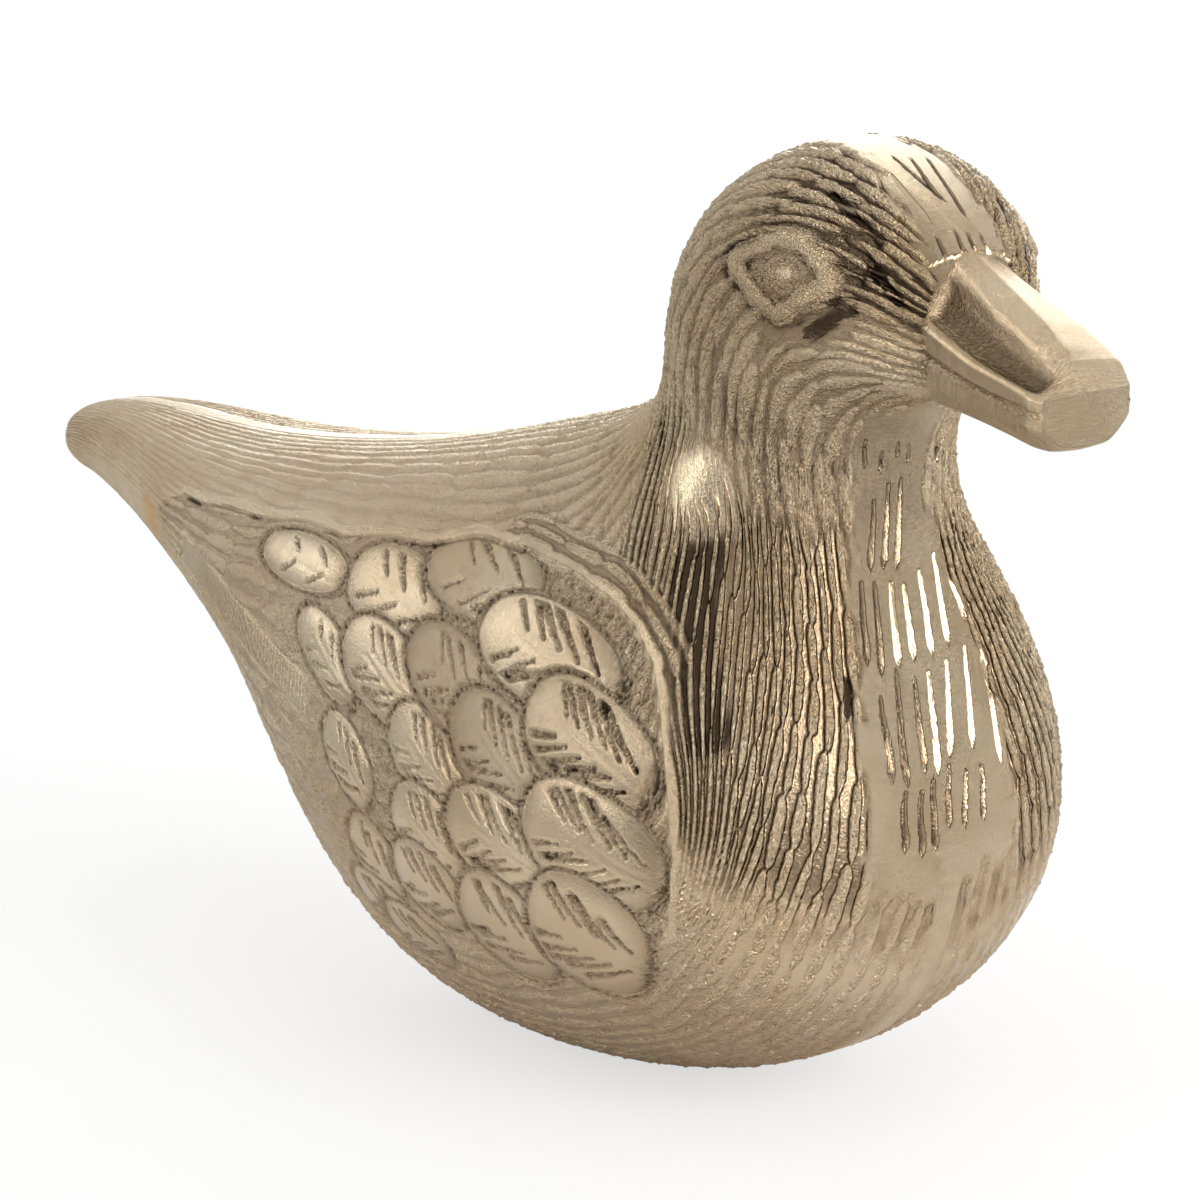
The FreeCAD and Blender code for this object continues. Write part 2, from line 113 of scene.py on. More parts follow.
# Sections of the bill: place, then heights of crest, rim, lip, under, keel and the two shoulders, then widths
BILL_SHARES = [
    (-0.286, (1.050, 0.553, 0.170, 0.020, 0.000, 0.990, 0.960), (0.530, 0.520, 0.360, 0.200, 0.240)),
    (0.000, (0.990, 0.520, 0.150, 0.000, -0.020, 0.945, 0.905), (0.520, 0.510, 0.360, 0.190, 0.240)),
    (0.214, (0.864, 0.400, 0.125, -0.031, -0.058, 0.815, 0.780), (0.500, 0.500, 0.360, 0.200, 0.270)),
    (0.429, (0.732, 0.304, 0.078, -0.082, -0.109, 0.672, 0.650), (0.490, 0.490, 0.320, 0.225, 0.325)),
    (0.643, (0.600, 0.252, 0.035, -0.132, -0.156, 0.553, 0.530), (0.490, 0.490, 0.300, 0.196, 0.385)),
    (0.821, (0.462, 0.222, 0.000, -0.179, -0.202, 0.447, 0.405), (0.500, 0.500, 0.300, 0.133, 0.430)),
    (0.911, (0.366, 0.208, -0.012, -0.185, -0.206, 0.355, 0.330), (0.500, 0.500, 0.300, 0.092, 0.450)),
    (1.000, (0.200, 0.190, -0.023, -0.190, -0.210, 0.198, 0.194), (0.490, 0.490, 0.290, 0.063, 0.455)),
]
BILL_FOOT_SHARE = 0.763

# The camera that took the picture, in the part's own frame, in millimetres and degrees
VIEW_AZIMUTH = 50.0
VIEW_ELEVATION = 14.0
VIEW_DISTANCE = 952.4
VIEW_TARGET = (20.0, 0.0, 76.29)
FOCAL_PIXELS = 5350.0
PICTURE_MIDDLE = 600.0
SENSOR = 36.0
turn = np.radians(VIEW_AZIMUTH)
lift = np.radians(VIEW_ELEVATION)
view_back = np.array([np.sin(turn) * np.cos(lift), -np.cos(turn) * np.cos(lift), np.sin(lift)])
view_right = np.array([np.cos(turn), np.sin(turn), 0.0])
view_up = np.cross(view_back, view_right)
camera_place = np.array(VIEW_TARGET) + view_back * VIEW_DISTANCE


def spline_weights(part):
    """Weights of the four control points of a uniform cubic."""
    return np.stack([(1 - part) ** 3, 3 * part ** 3 - 6 * part ** 2 + 4,
                     -3 * part ** 3 + 3 * part ** 2 + 3 * part + 1, part ** 3], -1) / 6


def ring_controls():
    """The skin's control points, ring by ring, with one more ring past each end."""
    rings = []
    for (top_x, top_z, bottom_x, bottom_z, *halves), levels in zip(RING_SHARES, LEVEL_SHARES):
        top = np.array([TAIL_X + top_x * BODY_LENGTH, 0, BASE_Z + top_z * CASTING_HEIGHT])
        bottom = np.array([TAIL_X + bottom_x * BODY_LENGTH, 0, BASE_Z + bottom_z * CASTING_HEIGHT])
        right = [top + (bottom - top) * level - [0, half * BODY_WIDTH, 0]
                 for level, half in zip(levels, halves)]
        left = [point * MIRROR for point in reversed(right)]
        rings.append([top] + right + [bottom] + left)
    rings = np.array(rings)
    return np.concatenate([[2 * rings[0] - rings[1]], rings, [2 * rings[-1] - rings[-2]]])


RINGS = ring_controls()
LAST_RING = len(RING_SHARES) - 1
# The tail and the face are drawn in over this many rings
TAIL_ROUNDING = 1.1
TAIL_POWER = 2.6
FACE_ROUNDING = 0.12
FACE_DRAW = 0.07


def skin(ring, round_to):
    """Points of the skin. ring counts from the tail, round_to from the back by the right side."""
    step = np.minimum(np.floor(ring).astype(int), LAST_RING - 1)
    controls = np.einsum("nk,nkpc->npc", spline_weights(ring - step), RINGS[step[:, None] + np.arange(4)])
    corner = np.floor(round_to * 8).astype(int)
    picked = controls[np.arange(len(ring))[:, None, None], (corner[..., None] + np.arange(-1, 3)) % 8]
    points = np.einsum("nmk,nmkc->nmc", spline_weights(round_to * 8 - corner), picked)
    middle = controls.mean(axis=1)[:, None]
    back = np.clip(1 - ring / TAIL_ROUNDING, 0, 0.999)
    front = np.clip(1 - (LAST_RING - ring) / FACE_ROUNDING, 0, 1)
    kept = (1 - back ** TAIL_POWER) ** (1 / TAIL_POWER) * (1 - FACE_DRAW * front ** 2)
    return middle + (points - middle) * kept[:, None, None]


def outward(points):
    """Normals of a sheet of points, rows from the tail and columns from the back down the right side."""
    along = np.gradient(points, axis=0)
    across = np.gradient(points, axis=1)
    normals = np.cross(across, along)
    size = np.linalg.norm(normals, axis=-1, keepdims=True)
    return normals / np.maximum(size, 1e-9)


def to_picture(points):
    """Where points show in the picture, and how far they are."""
    ahead = points - np.array(VIEW_TARGET)
    depth = VIEW_DISTANCE - ahead @ view_back
    across = PICTURE_MIDDLE + FOCAL_PIXELS * (ahead @ view_right) / depth
    down = PICTURE_MIDDLE - FOCAL_PIXELS * (ahead @ view_up) / depth
    return across, down, depth


# A chart of the whole skin, to find the places that the picture shows
chart_ring = np.linspace(0, LAST_RING, 681)
chart_turn = np.linspace(0, 1, 481)[:-1]
chart = skin(chart_ring, np.tile(chart_turn, (len(chart_ring), 1)))
chart_across, chart_down, chart_depth = to_picture(chart)
chart_toward = camera_place - chart
chart_toward /= np.linalg.norm(chart_toward, axis=-1, keepdims=True)
chart_normals = outward(chart)
chart_seen = (chart_normals * chart_toward).sum(-1) > 0.02


def nearest_in_chart(point):
    """Row and column of the chart's nearest point."""
    gap = np.linalg.norm(chart - point, axis=-1)
    return np.unravel_index(np.argmin(gap), gap.shape)


def place(across, down):
    """The ring and turn of the skin at a place in the picture, given in its pixels."""
    away = np.where(chart_seen, np.hypot(chart_across - across, chart_down - down), 1e9)
    if away.min() < 2.5:
        away = np.where(away < 2.5, chart_depth + away / 2, 1e9)
    row, column = np.unravel_index(np.argmin(away), away.shape)
    return chart_ring[row], chart_turn[column]


def spot(across, down):
    """The point of the skin at a place in the picture."""
    ring, round_to = place(across, down)
    return skin(np.array([ring]), np.array([[round_to]]))[0, 0]


def ramp(low, high, value):
    """0 below low, 1 above high, smooth between."""
    part = np.clip((value - low) / (high - low), 0, 1)
    return part * part * (3 - 2 * part)


def chance(first, second, seed):
    """A steady random number from 0 to 1 for each pair of whole numbers."""
    value = np.sin(first * 127.1 + second * 311.7 + seed * 74.7) * 43758.5453
    return value - np.floor(value)


def wander(first, second, seed):
    """Smooth noise from -1 to 1 over two coordinates."""
    left, low = np.floor(first), np.floor(second)
    x, y = first - left, second - low
    x, y = x * x * (3 - 2 * x), y * y * (3 - 2 * y)
    below = chance(left, low, seed) * (1 - x) + chance(left + 1, low, seed) * x
    above = chance(left, low + 1, seed) * (1 - x) + chance(left + 1, low + 1, seed) * x
    return (below * (1 - y) + above * y) * 2 - 1


def strokes(along, lane, length, fill, seed, wave=0.22):
    """Raised strokes with tapered ends, 1 on a crest, 0 in a gap. along is in millimetres, lane in strokes."""
    drift = wander(along / 11.0, lane / 3.0, seed) + wander(along / 11.0 + 0.5, lane / 3.0 + 0.4, seed + 6)
    lane = lane + 0.65 * wave * drift + 0.10 * wave * wander(along / 2.6, lane * 2, seed + 1)
    row = np.floor(lane)
    own = length * (0.65 + 0.7 * chance(row, 3, seed))
    cell = along / own + 7 * chance(row, 5, seed)
    run = cell - np.floor(cell)
    cell = np.floor(cell)
    fullness = fill * (0.75 + 0.45 * chance(row, cell, seed))
    taper = np.sqrt(np.clip(np.minimum(run / 0.22, (1 - run) / 0.16), 0, 1))
    away = np.abs(lane - row - 0.5 - 0.12 * (chance(cell, row, seed + 2) - 0.5)) * 2
    ragged = 1 + 0.16 * wander(along / 0.9, lane * 3, seed + 3)
    away = away / np.maximum(fullness * taper * ragged, 0.02)
    return np.clip(1 - away ** 2, 0, 1) ** 0.75 * (0.82 + 0.18 * taper)


def near_line(points, start, end):
    """Distance of points from a line between two points, and how far along it they are, from 0 to 1."""
    run = end - start
    part = np.clip((points - start) @ run / (run @ run), 0, 1)
    return np.linalg.norm(points - start - part[..., None] * run, axis=-1), part


def near_path(points, path):
    """Distance of points from a path, and the length of path up to the nearest point."""
    best = np.full(points.shape[:-1], 1e9)
    reach = np.zeros(points.shape[:-1])
    done = 0.0
    for start, end in zip(path[:-1], path[1:]):
        away, part = near_line(points, start, end)
        length = np.linalg.norm(end - start)
        closer = away < best
        best = np.where(closer, away, best)
        reach = np.where(closer, done + part * length, reach)
        done += length
    return best, reach


def inside(first, second, corners):
    """Which places lie inside a closed outline."""
    found = np.zeros(first.shape, bool)
    for (ax, ay), (bx, by) in zip(corners, corners[1:] + corners[:1]):
        crosses = (ay > second) != (by > second)
        with np.errstate(divide="ignore", invalid="ignore"):
            edge = ax + (second - ay) * (bx - ax) / (by - ay)
        found ^= crosses & (first < edge)
    return found


# Places in the picture, in its pixels. The edge of the wing, its front and its foot
WING_TOP = [(184, 492), (237, 508), (291, 517), (339, 530), (371, 533), (420, 539), (471, 533), (522, 545)]
WING_FRONT = [(522, 545), (575, 572), (612, 600), (635, 627), (650, 665), (657, 707), (662, 750),
              (665, 800), (668, 860), (664, 940)]
WING_FOOT = [(640, 972), (600, 985), (550, 972), (500, 955), (450, 945), (400, 925), (355, 895)]
# Rings and turns at the wing's rear
WING_REAR_PLACES = [(7.0, 0.335), (6.0, 0.33), (5.0, 0.31), (4.2, 0.27), (3.9, 0.22), (4.1, 0.19)]
# Feathers from the rear forward: root, tip and width, and how many cuts lie on each side of the vein
FEATHERS = [
    ((344, 580), (262, 540), 56, 2),
    ((436, 622), (350, 562), 92, 3),
    ((540, 604), (428, 552), 88, 3),
    ((352, 700), (298, 610), 52, 3),
    ((420, 716), (344, 626), 80, 4),
    ((368, 806), (322, 716), 50, 3),
    ((460, 806), (390, 714), 76, 4),
    ((462, 872), (388, 796), 72, 4),
    ((404, 900), (346, 822), 48, 3),
    ((464, 916), (388, 856), 66, 4),
    ((420, 934), (350, 878), 54, 3),
    ((452, 960), (384, 914), 54, 3),
    ((496, 736), (410, 634), 84, 4),
    ((548, 812), (452, 702), 90, 5),
    ((556, 884), (442, 808), 92, 5),
    ((560, 968), (456, 892), 80, 4),
    ((622, 700), (480, 612), 106, 5),
    ((654, 800), (528, 694), 108, 6),
    ((668, 890), (522, 800), 106, 6),
    ((652, 976), (524, 898), 98, 5),
]
LADDERS = [((178, 545), (307, 700), 22), ((258, 690), (306, 762), 18)]
# Chisel cuts in the ground band of the breast: top end and lower end. The dark ones get painted shade for a
# dark reflection, the bright ones none
DARK_CUTS = [
    ((875, 500), (871, 571)), ((890, 483), (884, 572)), ((902, 478), (897, 572)),
    ((862, 581), (868, 667)), ((875, 583), (883, 678)), ((849, 678), (851, 719)),
    ((881, 695), (894, 783)), ((896, 669), (909, 792)), ((915, 677), (926, 775)),
    ((906, 789), (906, 854)), ((922, 789), (923, 860)), ((934, 779), (937, 849)), ((951, 766), (951, 830)),
    ((967, 768), (967, 829)), ((983, 763), (985, 819)),
]
BRIGHT_CUTS = [
    ((892, 581), (900, 667)), ((906, 583), (916, 663)), ((920, 566), (935, 660)), ((934, 549), (950, 647)),
    ((951, 578), (969, 622)), ((930, 670), (940, 777)), ((947, 657), (952, 760)), ((965, 641), (974, 750)),
    ((983, 640), (1003, 766)),
]
THROAT_CUTS = [((866, 440), (865, 469)), ((883, 451), (881, 472)), ((899, 443), (898, 458)),
               ((910, 446), (909, 462)), ((925, 466), (923, 486)), ((940, 447), (938, 462))]
CROWN_CUTS = [((892, 155), (948, 202)), ((911, 156), (937, 193)), ((927, 157), (968, 218)),
              ((937, 235), (948, 262)), ((955, 230), (967, 255)), ((968, 232), (980, 257)),
              ((980, 232), (994, 257)), ((1002, 249), (1014, 267))]
BRIGHT_CROWN_CUTS = [((873, 171), (908, 227)), ((890, 171), (932, 223))]
BILL_ROOT_LINE = [(930, 268), (944, 261), (958, 256), (976, 254), (996, 254), (1016, 262)]
BROW_GAPS = [((832, 192), (880, 240)), ((846, 232), (884, 276)), ((872, 268), (900, 302)),
             ((828, 252), (862, 280))]
# Where the breast's gaps get painted shade, standing for a dark reflection
PAINTED_SHADE_FLANK = [(712, 508), (690, 590), (690, 660), (704, 730)]
EYE_RIM = [(732, 260), (752, 250), (778, 238), (800, 243), (818, 262), (826, 282), (806, 294),
           (776, 314), (758, 298), (744, 280)]
EYE_MIDDLE = (782, 275)
EYE_DENT = [(808, 333), (848, 306)]
SMOOTH_CHEEK = [(768, 334), (800, 330), (838, 322)]
NECK_BULGE = (700, 482)
FEATHER_GLEAM = (522, 628)
TARNISH = (149, 519)

wing_corners = [place(*at) for at in WING_TOP + WING_FRONT[1:] + WING_FOOT] + WING_REAR_PLACES
wing_top = [spot(*at) for at in WING_TOP]
wing_front = [spot(*at) for at in WING_FRONT]
wing_edge = wing_top + wing_front[1:] + [spot(*at) for at in WING_FOOT]
painted_shade_flank = [spot(*at) for at in PAINTED_SHADE_FLANK]
eye_rim = [spot(*at) for at in EYE_RIM]
eye_rim.append(eye_rim[0])
eye_middle = spot(*EYE_MIDDLE)


def local_axes(start, end):
    """Length, and unit vectors along and across, of a feather on the skin between two points."""
    length = np.linalg.norm(end - start)
    run = (end - start) / length
    return length, run, np.cross(chart_normals[nearest_in_chart((start + end) / 2)], run)


# The leaf's outline is a rounded lozenge of this power, and the brightest feathers lie round this place
LEAF_POWER = 2.2
BRIGHTEST_FEATHERS = (560, 680)


def barb_cuts(x, y, edge, length, half_width, count, seed):
    """Cuts that lean away from a feather's vein: their depths added up, and the deepest at each place."""
    total = np.zeros(len(x))
    deepest = np.zeros(len(x))
    for side in (-1, 1):
        for index in range(count):
            lean = np.radians(24 + 15 * chance(index, side + 2, seed))
            start_x = (-0.80 + 1.26 * (index + 0.5) / count) * length / 2
            start_y = side * (0.17 + 0.07 * chance(index, side + 5, seed)) * half_width
            long = length * (0.27 + 0.13 * chance(index, side + 9, seed))
            run_x, run_y = long * np.cos(lean), side * long * np.sin(lean)
            reach = (x - start_x) * run_x + (y - start_y) * run_y
            part = np.clip(reach / (run_x * run_x + run_y * run_y), 0, 1)
            away = np.hypot(x - start_x - part * run_x, y - start_y - part * run_y)
            away = away + 0.14 * wander(x / 0.9, y / 0.9, seed + index)
            wide = (0.70 + 0.35 * chance(index, side + 12, seed)) * (length / 24) ** 0.5
            wide = wide * (0.35 + 0.75 * part)
            depth = (1 - ramp(0.5, 1.0, away / wide)) * ramp(0.9, 1.8, edge)
            total += depth
            deepest = np.maximum(deepest, depth)
    return total, deepest


def lay_feather(form, points, root_at, tip_at, width_pixels, cuts, seed):
    """Lay one scale feather on the wing: a domed leaf with a vein, cuts towards the tip and a sunk border."""
    root, tip = spot(*root_at), spot(*tip_at)
    length, run, side = local_axes(root, tip)
    middle = (root + tip) / 2
    ends = to_picture(np.array([middle - side, middle + side]))
    half_width = width_pixels / np.hypot(ends[0][1] - ends[0][0], ends[1][1] - ends[1][0])
    offset = points - middle
    near = np.linalg.norm(offset, axis=-1) < length
    x, y = (offset @ run)[near], (offset @ side)[near]
    u, v = x / (length / 2), y / half_width
    radius = (np.abs(u) ** LEAF_POWER + np.abs(v) ** LEAF_POWER) ** (1 / LEAF_POWER)
    edge = (1 - radius) * half_width
    vein = np.abs(y + 0.10 * half_width * np.sin(u * 2.2))
    groove = (1 - ramp(0.2, 0.7, np.abs(vein - 0.8))) * ramp(-0.95, -0.8, u) * (1 - ramp(0.3, 0.5, u))
    barbs, deepest = barb_cuts(x, y, edge, length, half_width, cuts, seed)
    dome = 0.10 - 0.70 * np.clip(radius, 0, 1) ** 3 - 0.34 * ramp(0.0, 1.0, -u) - 0.07 * groove - 0.42 * barbs
    rough = np.maximum(deepest, 0.7 * ramp(0.75, 0.95, -u))
    from_brightest = np.hypot((root_at[0] + tip_at[0]) / 2 - BRIGHTEST_FEATHERS[0],
                              (root_at[1] + tip_at[1]) / 2 - BRIGHTEST_FEATHERS[1])
    shine = 0.36 + 0.52 * (1 - ramp(60, 150, from_brightest))
    on = ramp(-0.1, 0.35, edge)
    border = ramp(-1.0, -0.4, edge) * (1 - on)
    for layer, value in (("height", dome), ("grain", rough), ("ground", shine * (1 - rough) + 0.3 * rough)):
        form[layer][near] = form[layer][near] * (1 - on) + value * on
    form["height"][near] = form["height"][near] * (1 - border) - 0.70 * border
    form["grain"][near] = np.maximum(form["grain"][near] * (1 - on), 0.95 * border) + rough * on
    form["ground"][near] *= 1 - 0.7 * border


def on_skin(start_at, end_at, count=5):
    """Points of the skin along a straight line in the picture."""
    start, end = np.array(start_at), np.array(end_at)
    return [spot(*(start + (end - start) * share)) for share in np.linspace(0, 1, count)]


def cut(form, points, path, half_width, depth, dark_reflection_shade=0.0):
    """One chisel cut along a path: thin at its top, widest before its pointed end, with a sloping floor,
    painted dark as a dark reflection or kept bright.
    """
    near = np.linalg.norm(points - (path[0] + path[-1]) / 2, axis=-1) < np.linalg.norm(path[-1] - path[0])
    held = points[near]
    away, reach = near_path(held, path)
    part = reach / sum(np.linalg.norm(b - a) for a, b in zip(path[:-1], path[1:]))
    wide = half_width * np.minimum(np.minimum(0.60 + 0.5 * part, part / 0.05 + 0.1), (1 - part) / 0.13 + 0.02)
    share = away / np.maximum(wide, 0.02)
    middle = (path[0] + path[-1]) / 2
    right = np.sign((held - middle) @ np.cross(path[-1] - path[0], camera_place - middle))
    floor = 0.55 + 0.45 * right * np.minimum(share, 1)
    dip = ramp(0, 0.16, 1 - share)
    form["height"][near] -= depth * dip * floor
    form["ground"][near] = form["ground"][near] * (1 - dip) + dip
    form["grain"][near] *= 1 - dip
    form["painted_shade"][near] = form["painted_shade"][near] * (1 - dip) + dark_reflection_shade * dip


# Kinds of stroke: how many lie round the duck, their length in millimetres, how much of its lane a crest
# fills, what the kind adds to the seed, and how far it waves
BACK_STROKES = (86, 17, 0.80, 0, 0.22)
BELLY_STROKES = (96, 13, 0.68, 10, 0.35)
QUILLS = (62, 19, 0.80, 21, 0.35)
SCRATCHES = (96, 8, 0.60, 22, 0.22)
BREAST_STROKES = (78, 14, 0.68, 30, 0.26)
HEAD_STROKES = (46, 14, 0.80, 50, 0.42)
QUILL_LEAN = 1.2 / 62
EDGE_ROW_SPACING = 2.5
EDGE_ROW_LENGTH = 18
RUNG_SPACING = 1.5


# The last layer is painted shade: darkening painted into the colour for shade and dark reflections; below zero
# it takes groove darkening away
LAYERS = ("height", "grain", "ground", "tarnish", "painted_shade")


class Cast:
    """A sheet of the skin and its form: height in millimetres, sand grain, grinding, tarnish and painted
    shade.
    """

    def __init__(self, ring, turn_to, points, along, seed):
        self.ring = np.broadcast_to(ring[:, None], turn_to.shape)
        self.turn_to, self.points, self.along, self.seed = turn_to, points, along, seed
        self.form = {layer: np.zeros(turn_to.shape) for layer in LAYERS}
        self.in_wing = inside(self.ring, turn_to, wing_corners)
        self.edge_away, self.edge_along = near_path(points, wing_edge)
        self.front_away = near_path(points, wing_front)[0]
        self.off_wing = np.where(self.in_wing, 0, ramp(0.2, 1.6, self.edge_away))
        self.seam_away = np.abs(points[..., 1])

    def rows(self, kind, bend=0.0, thinned=0.0):
        """Strokes of one kind. bend leans them round the duck, and thinned narrows their crests."""
        lanes, length, fill, added_seed, wave = kind
        lane = (self.turn_to + bend) * lanes
        return strokes(self.along, lane, length, fill - thinned, self.seed + added_seed, wave)

    def wavy(self, step, lanes, added_seed):
        """Smooth noise from -1 to 1 that follows the skin."""
        return wander(self.along / step, self.turn_to * lanes, self.seed + added_seed)

    def blend(self, mask, height, grain, ground):
        """Give the skin another surface where the mask is 1."""
        for layer, value in (("height", height), ("grain", grain), ("ground", ground)):
            self.form[layer] = self.form[layer] * (1 - mask) + value * mask

    def sink(self, mask, depth, smoothed, ground, hollow_shade):
        """Sink a small smooth hollow into the skin and paint shade into it."""
        self.form["height"] -= depth * mask
        self.form["grain"] *= 1 - smoothed * mask
        self.at_least("ground", ground * mask)
        self.at_least("painted_shade", hollow_shade * mask)

    def at_least(self, layer, amount):
        self.form[layer] = np.maximum(self.form[layer], amount)


def lay_back(cast):
    """Long faint strokes of the back and tail, deeper and sandier towards the neck."""
    crest = cast.rows(BACK_STROKES)
    depth = 0.30 + 0.35 * ramp(7.0, 9.3, cast.ring)
    cast.form["height"] = -depth * (1 - crest)
    cast.form["grain"] = 0.34 + 0.4 * ramp(6.0, 9.0, cast.ring) * (0.5 + 0.5 * crest)


def lay_belly(cast, crest):
    """Faint strokes under the wing and on the belly."""
    depth = 0.44
    mask = ramp(0.31, 0.35, cast.turn_to) * ramp(3.4, 4.4, cast.ring)
    cast.blend(mask, -depth * (1 - crest), 0.5 + 0.45 * crest, 0.22)


def lay_wing_field(cast, belly_crest):
    """The sunk field of the wing: quills at its rear, belly strokes low down, scratches among the feathers."""
    quill_depth, rear_depth, low_depth, scratch_depth = 0.46, 0.55, 0.36, 0.25
    within = np.where(cast.in_wing, ramp(0.0, 1.2, cast.edge_away), 0)
    quill = cast.rows(QUILLS, bend=QUILL_LEAN * (cast.ring - 5))
    rear = within * (1 - ramp(5.9, 6.3, cast.ring))
    low = within * ramp(0.28, 0.32, cast.turn_to)
    low = low * ramp(6.0, 7.0, cast.ring) * (1 - ramp(8.2, 8.6, cast.ring))
    middle = within * ramp(7.0, 7.3, cast.ring) * (1 - low)
    cast.blend(within, -quill_depth * (1 - quill) - 0.1, 0.35 + 0.5 * quill, 0.25)
    cast.blend(rear, -rear_depth * (1 - quill) - 0.05, 0.3 + 0.3 * quill, 0.15)
    cast.blend(low, -low_depth * (1 - belly_crest) - 0.1, 0.4 + 0.3 * belly_crest, 0.15)
    # Less painted groove shade in the wing's sunk field
    cast.form["painted_shade"] -= 0.22 * within
    cast.blend(middle, -0.34 - scratch_depth * (1 - cast.rows(SCRATCHES)), 0.85, 0.3)


def lay_breast(cast):
    """Breast strokes that lean with the wing's front edge, with painted shade, standing for a dark reflection,
    in their gaps beside the wing.
    """
    below = 9.9 - cast.ring
    lean = -0.115 * (below + np.sqrt(below ** 2 + 0.16)) * (1 - ramp(0.30, 0.38, cast.turn_to))
    shade = 1 - ramp(2.0, 10.0, near_path(cast.points, painted_shade_flank)[0])
    crest = cast.rows(BREAST_STROKES, bend=lean, thinned=0.18 * shade)
    gap = 1 - crest
    depth = 0.08 + 0.72 * ramp(9.15, 9.7, cast.ring)
    mask = cast.off_wing * ramp(8.75, 9.3, cast.ring)
    mask = mask * ramp(0.15, 0.21, cast.turn_to + 0.05 * (cast.ring - 10))
    upper = ramp(9.2, 9.7, cast.ring)
    cast.blend(mask, -depth * gap, 0.08 + 0.92 * crest, 0.3 + 0.7 * gap * upper)
    # Painted shade: the gaps beside the wing are painted dark as a dark reflection, and elsewhere on the
    # breast they lose some groove darkening
    cast.form["painted_shade"] += mask * (0.95 * shade - 0.58) * gap * upper


def lay_edge_rows(cast):
    """Rows of ridges that run beside the wing's front edge."""
    depth = 0.6
    lane = cast.edge_away / EDGE_ROW_SPACING
    crest = strokes(cast.edge_along, lane, EDGE_ROW_LENGTH, 0.8, cast.seed + 40, wave=0.2)
    mask = cast.off_wing * (1 - ramp(5.5, 9.0, cast.front_away)) * (1 - ramp(0.27, 0.31, cast.turn_to))
    cast.blend(mask, -depth * (1 - crest), 0.15 + 0.85 * crest, 0.3 + 0.4 * (1 - crest))


def lay_neck_and_head(cast):
    """Strokes of the neck and head, deepest on the crown. Gives how much painted shade the neck side and
    throat get.
    """
    crest = cast.rows(HEAD_STROKES)
    ragged_ring = cast.ring + 0.25 * wander(cast.turn_to * 40, cast.ring, cast.seed + 51)
    mask = ramp(11.45, 11.9, ragged_ring)
    depth = 0.62 + 0.3 * ramp(14.3, 15.2, cast.ring) * (1 - ramp(0.22, 0.27, cast.turn_to))
    calm = ramp(0.25, 0.30, cast.turn_to) * ramp(12.6, 13.2, cast.ring)
    height = -depth * (1 - crest) * (1 - 0.25 * calm)
    cast.blend(mask, height, 0.55 + 0.45 * crest - 0.3 * calm, 0.25 + 0.2 * (1 - crest))
    painted_neck_shade = ramp(11.2, 12.0, cast.ring) * (1 - ramp(13.0, 14.0, cast.ring)) * ramp(0.2, 0.3, cast.turn_to)
    # Painted shade on the neck side, and a little less groove darkening over the rest of the neck and head
    cast.form["painted_shade"] += (0.42 * painted_neck_shade - 0.22) * mask
    return painted_neck_shade


def lay_ladder(cast, start_at, end_at, width_pixels):
    """One ladder-like strip of the wing's rear: a sunk strip with rungs across it."""
    start, end = spot(*start_at), spot(*end_at)
    length, run, side = local_axes(start, end)
    offset = cast.points - (start + end) / 2
    x, y = offset @ run, offset @ side
    half_width = width_pixels / 2 / np.hypot(end_at[0] - start_at[0], end_at[1] - start_at[1]) * length
    near = np.abs((offset * np.cross(run, side)).sum(-1)) < 9
    mask = near * ramp(-0.2, 0.3, half_width - np.abs(y)) * ramp(0, 2, length / 2 - np.abs(x))
    rung = 0.5 + 0.5 * np.cos(2 * np.pi * (x + 0.25 * y) / RUNG_SPACING)
    cast.blend(mask, -0.3 + 0.24 * rung * ramp(0.2, 0.9, half_width - np.abs(y)), 0.15, 0.2)


def lay_wing_edge(cast):
    """The raised edge of the wing: a wavy groove and a cord along its top, and a strip down its front."""
    top_away, top_along = near_path(cast.points, wing_top)
    wave = 0.5 * np.sin(top_along / 4.3) + 0.4
    past_top = np.where(cast.in_wing, 1, -1) * top_away
    past_front = np.where(cast.in_wing, -1, 1) * cast.front_away
    cast.form["height"] -= 0.45 * (1 - ramp(0.2, 0.8, np.abs(past_top - wave)))
    cast.blend(1 - ramp(0.7, 1.3, np.abs(past_top + 1.2 - wave)), -0.08, 0.25, 0.3)
    cast.blend(1 - ramp(0.5, 0.95, np.abs(past_front - 0.9)), -0.05, 0.2, 0.5)


def lay_neck_bulge(cast):
    """The smooth raised place behind the neck, tumbled bright."""
    swell = 1.6
    away = np.linalg.norm(cast.points - spot(*NECK_BULGE), axis=-1)
    cast.blend(1 - ramp(3.0, 10.5, away + 0.8 * cast.wavy(3.0, 30, 55)), 0.1, 0.03, 0.95)
    cast.form["height"] += swell * (1 - ramp(0.0, 13.0, away))


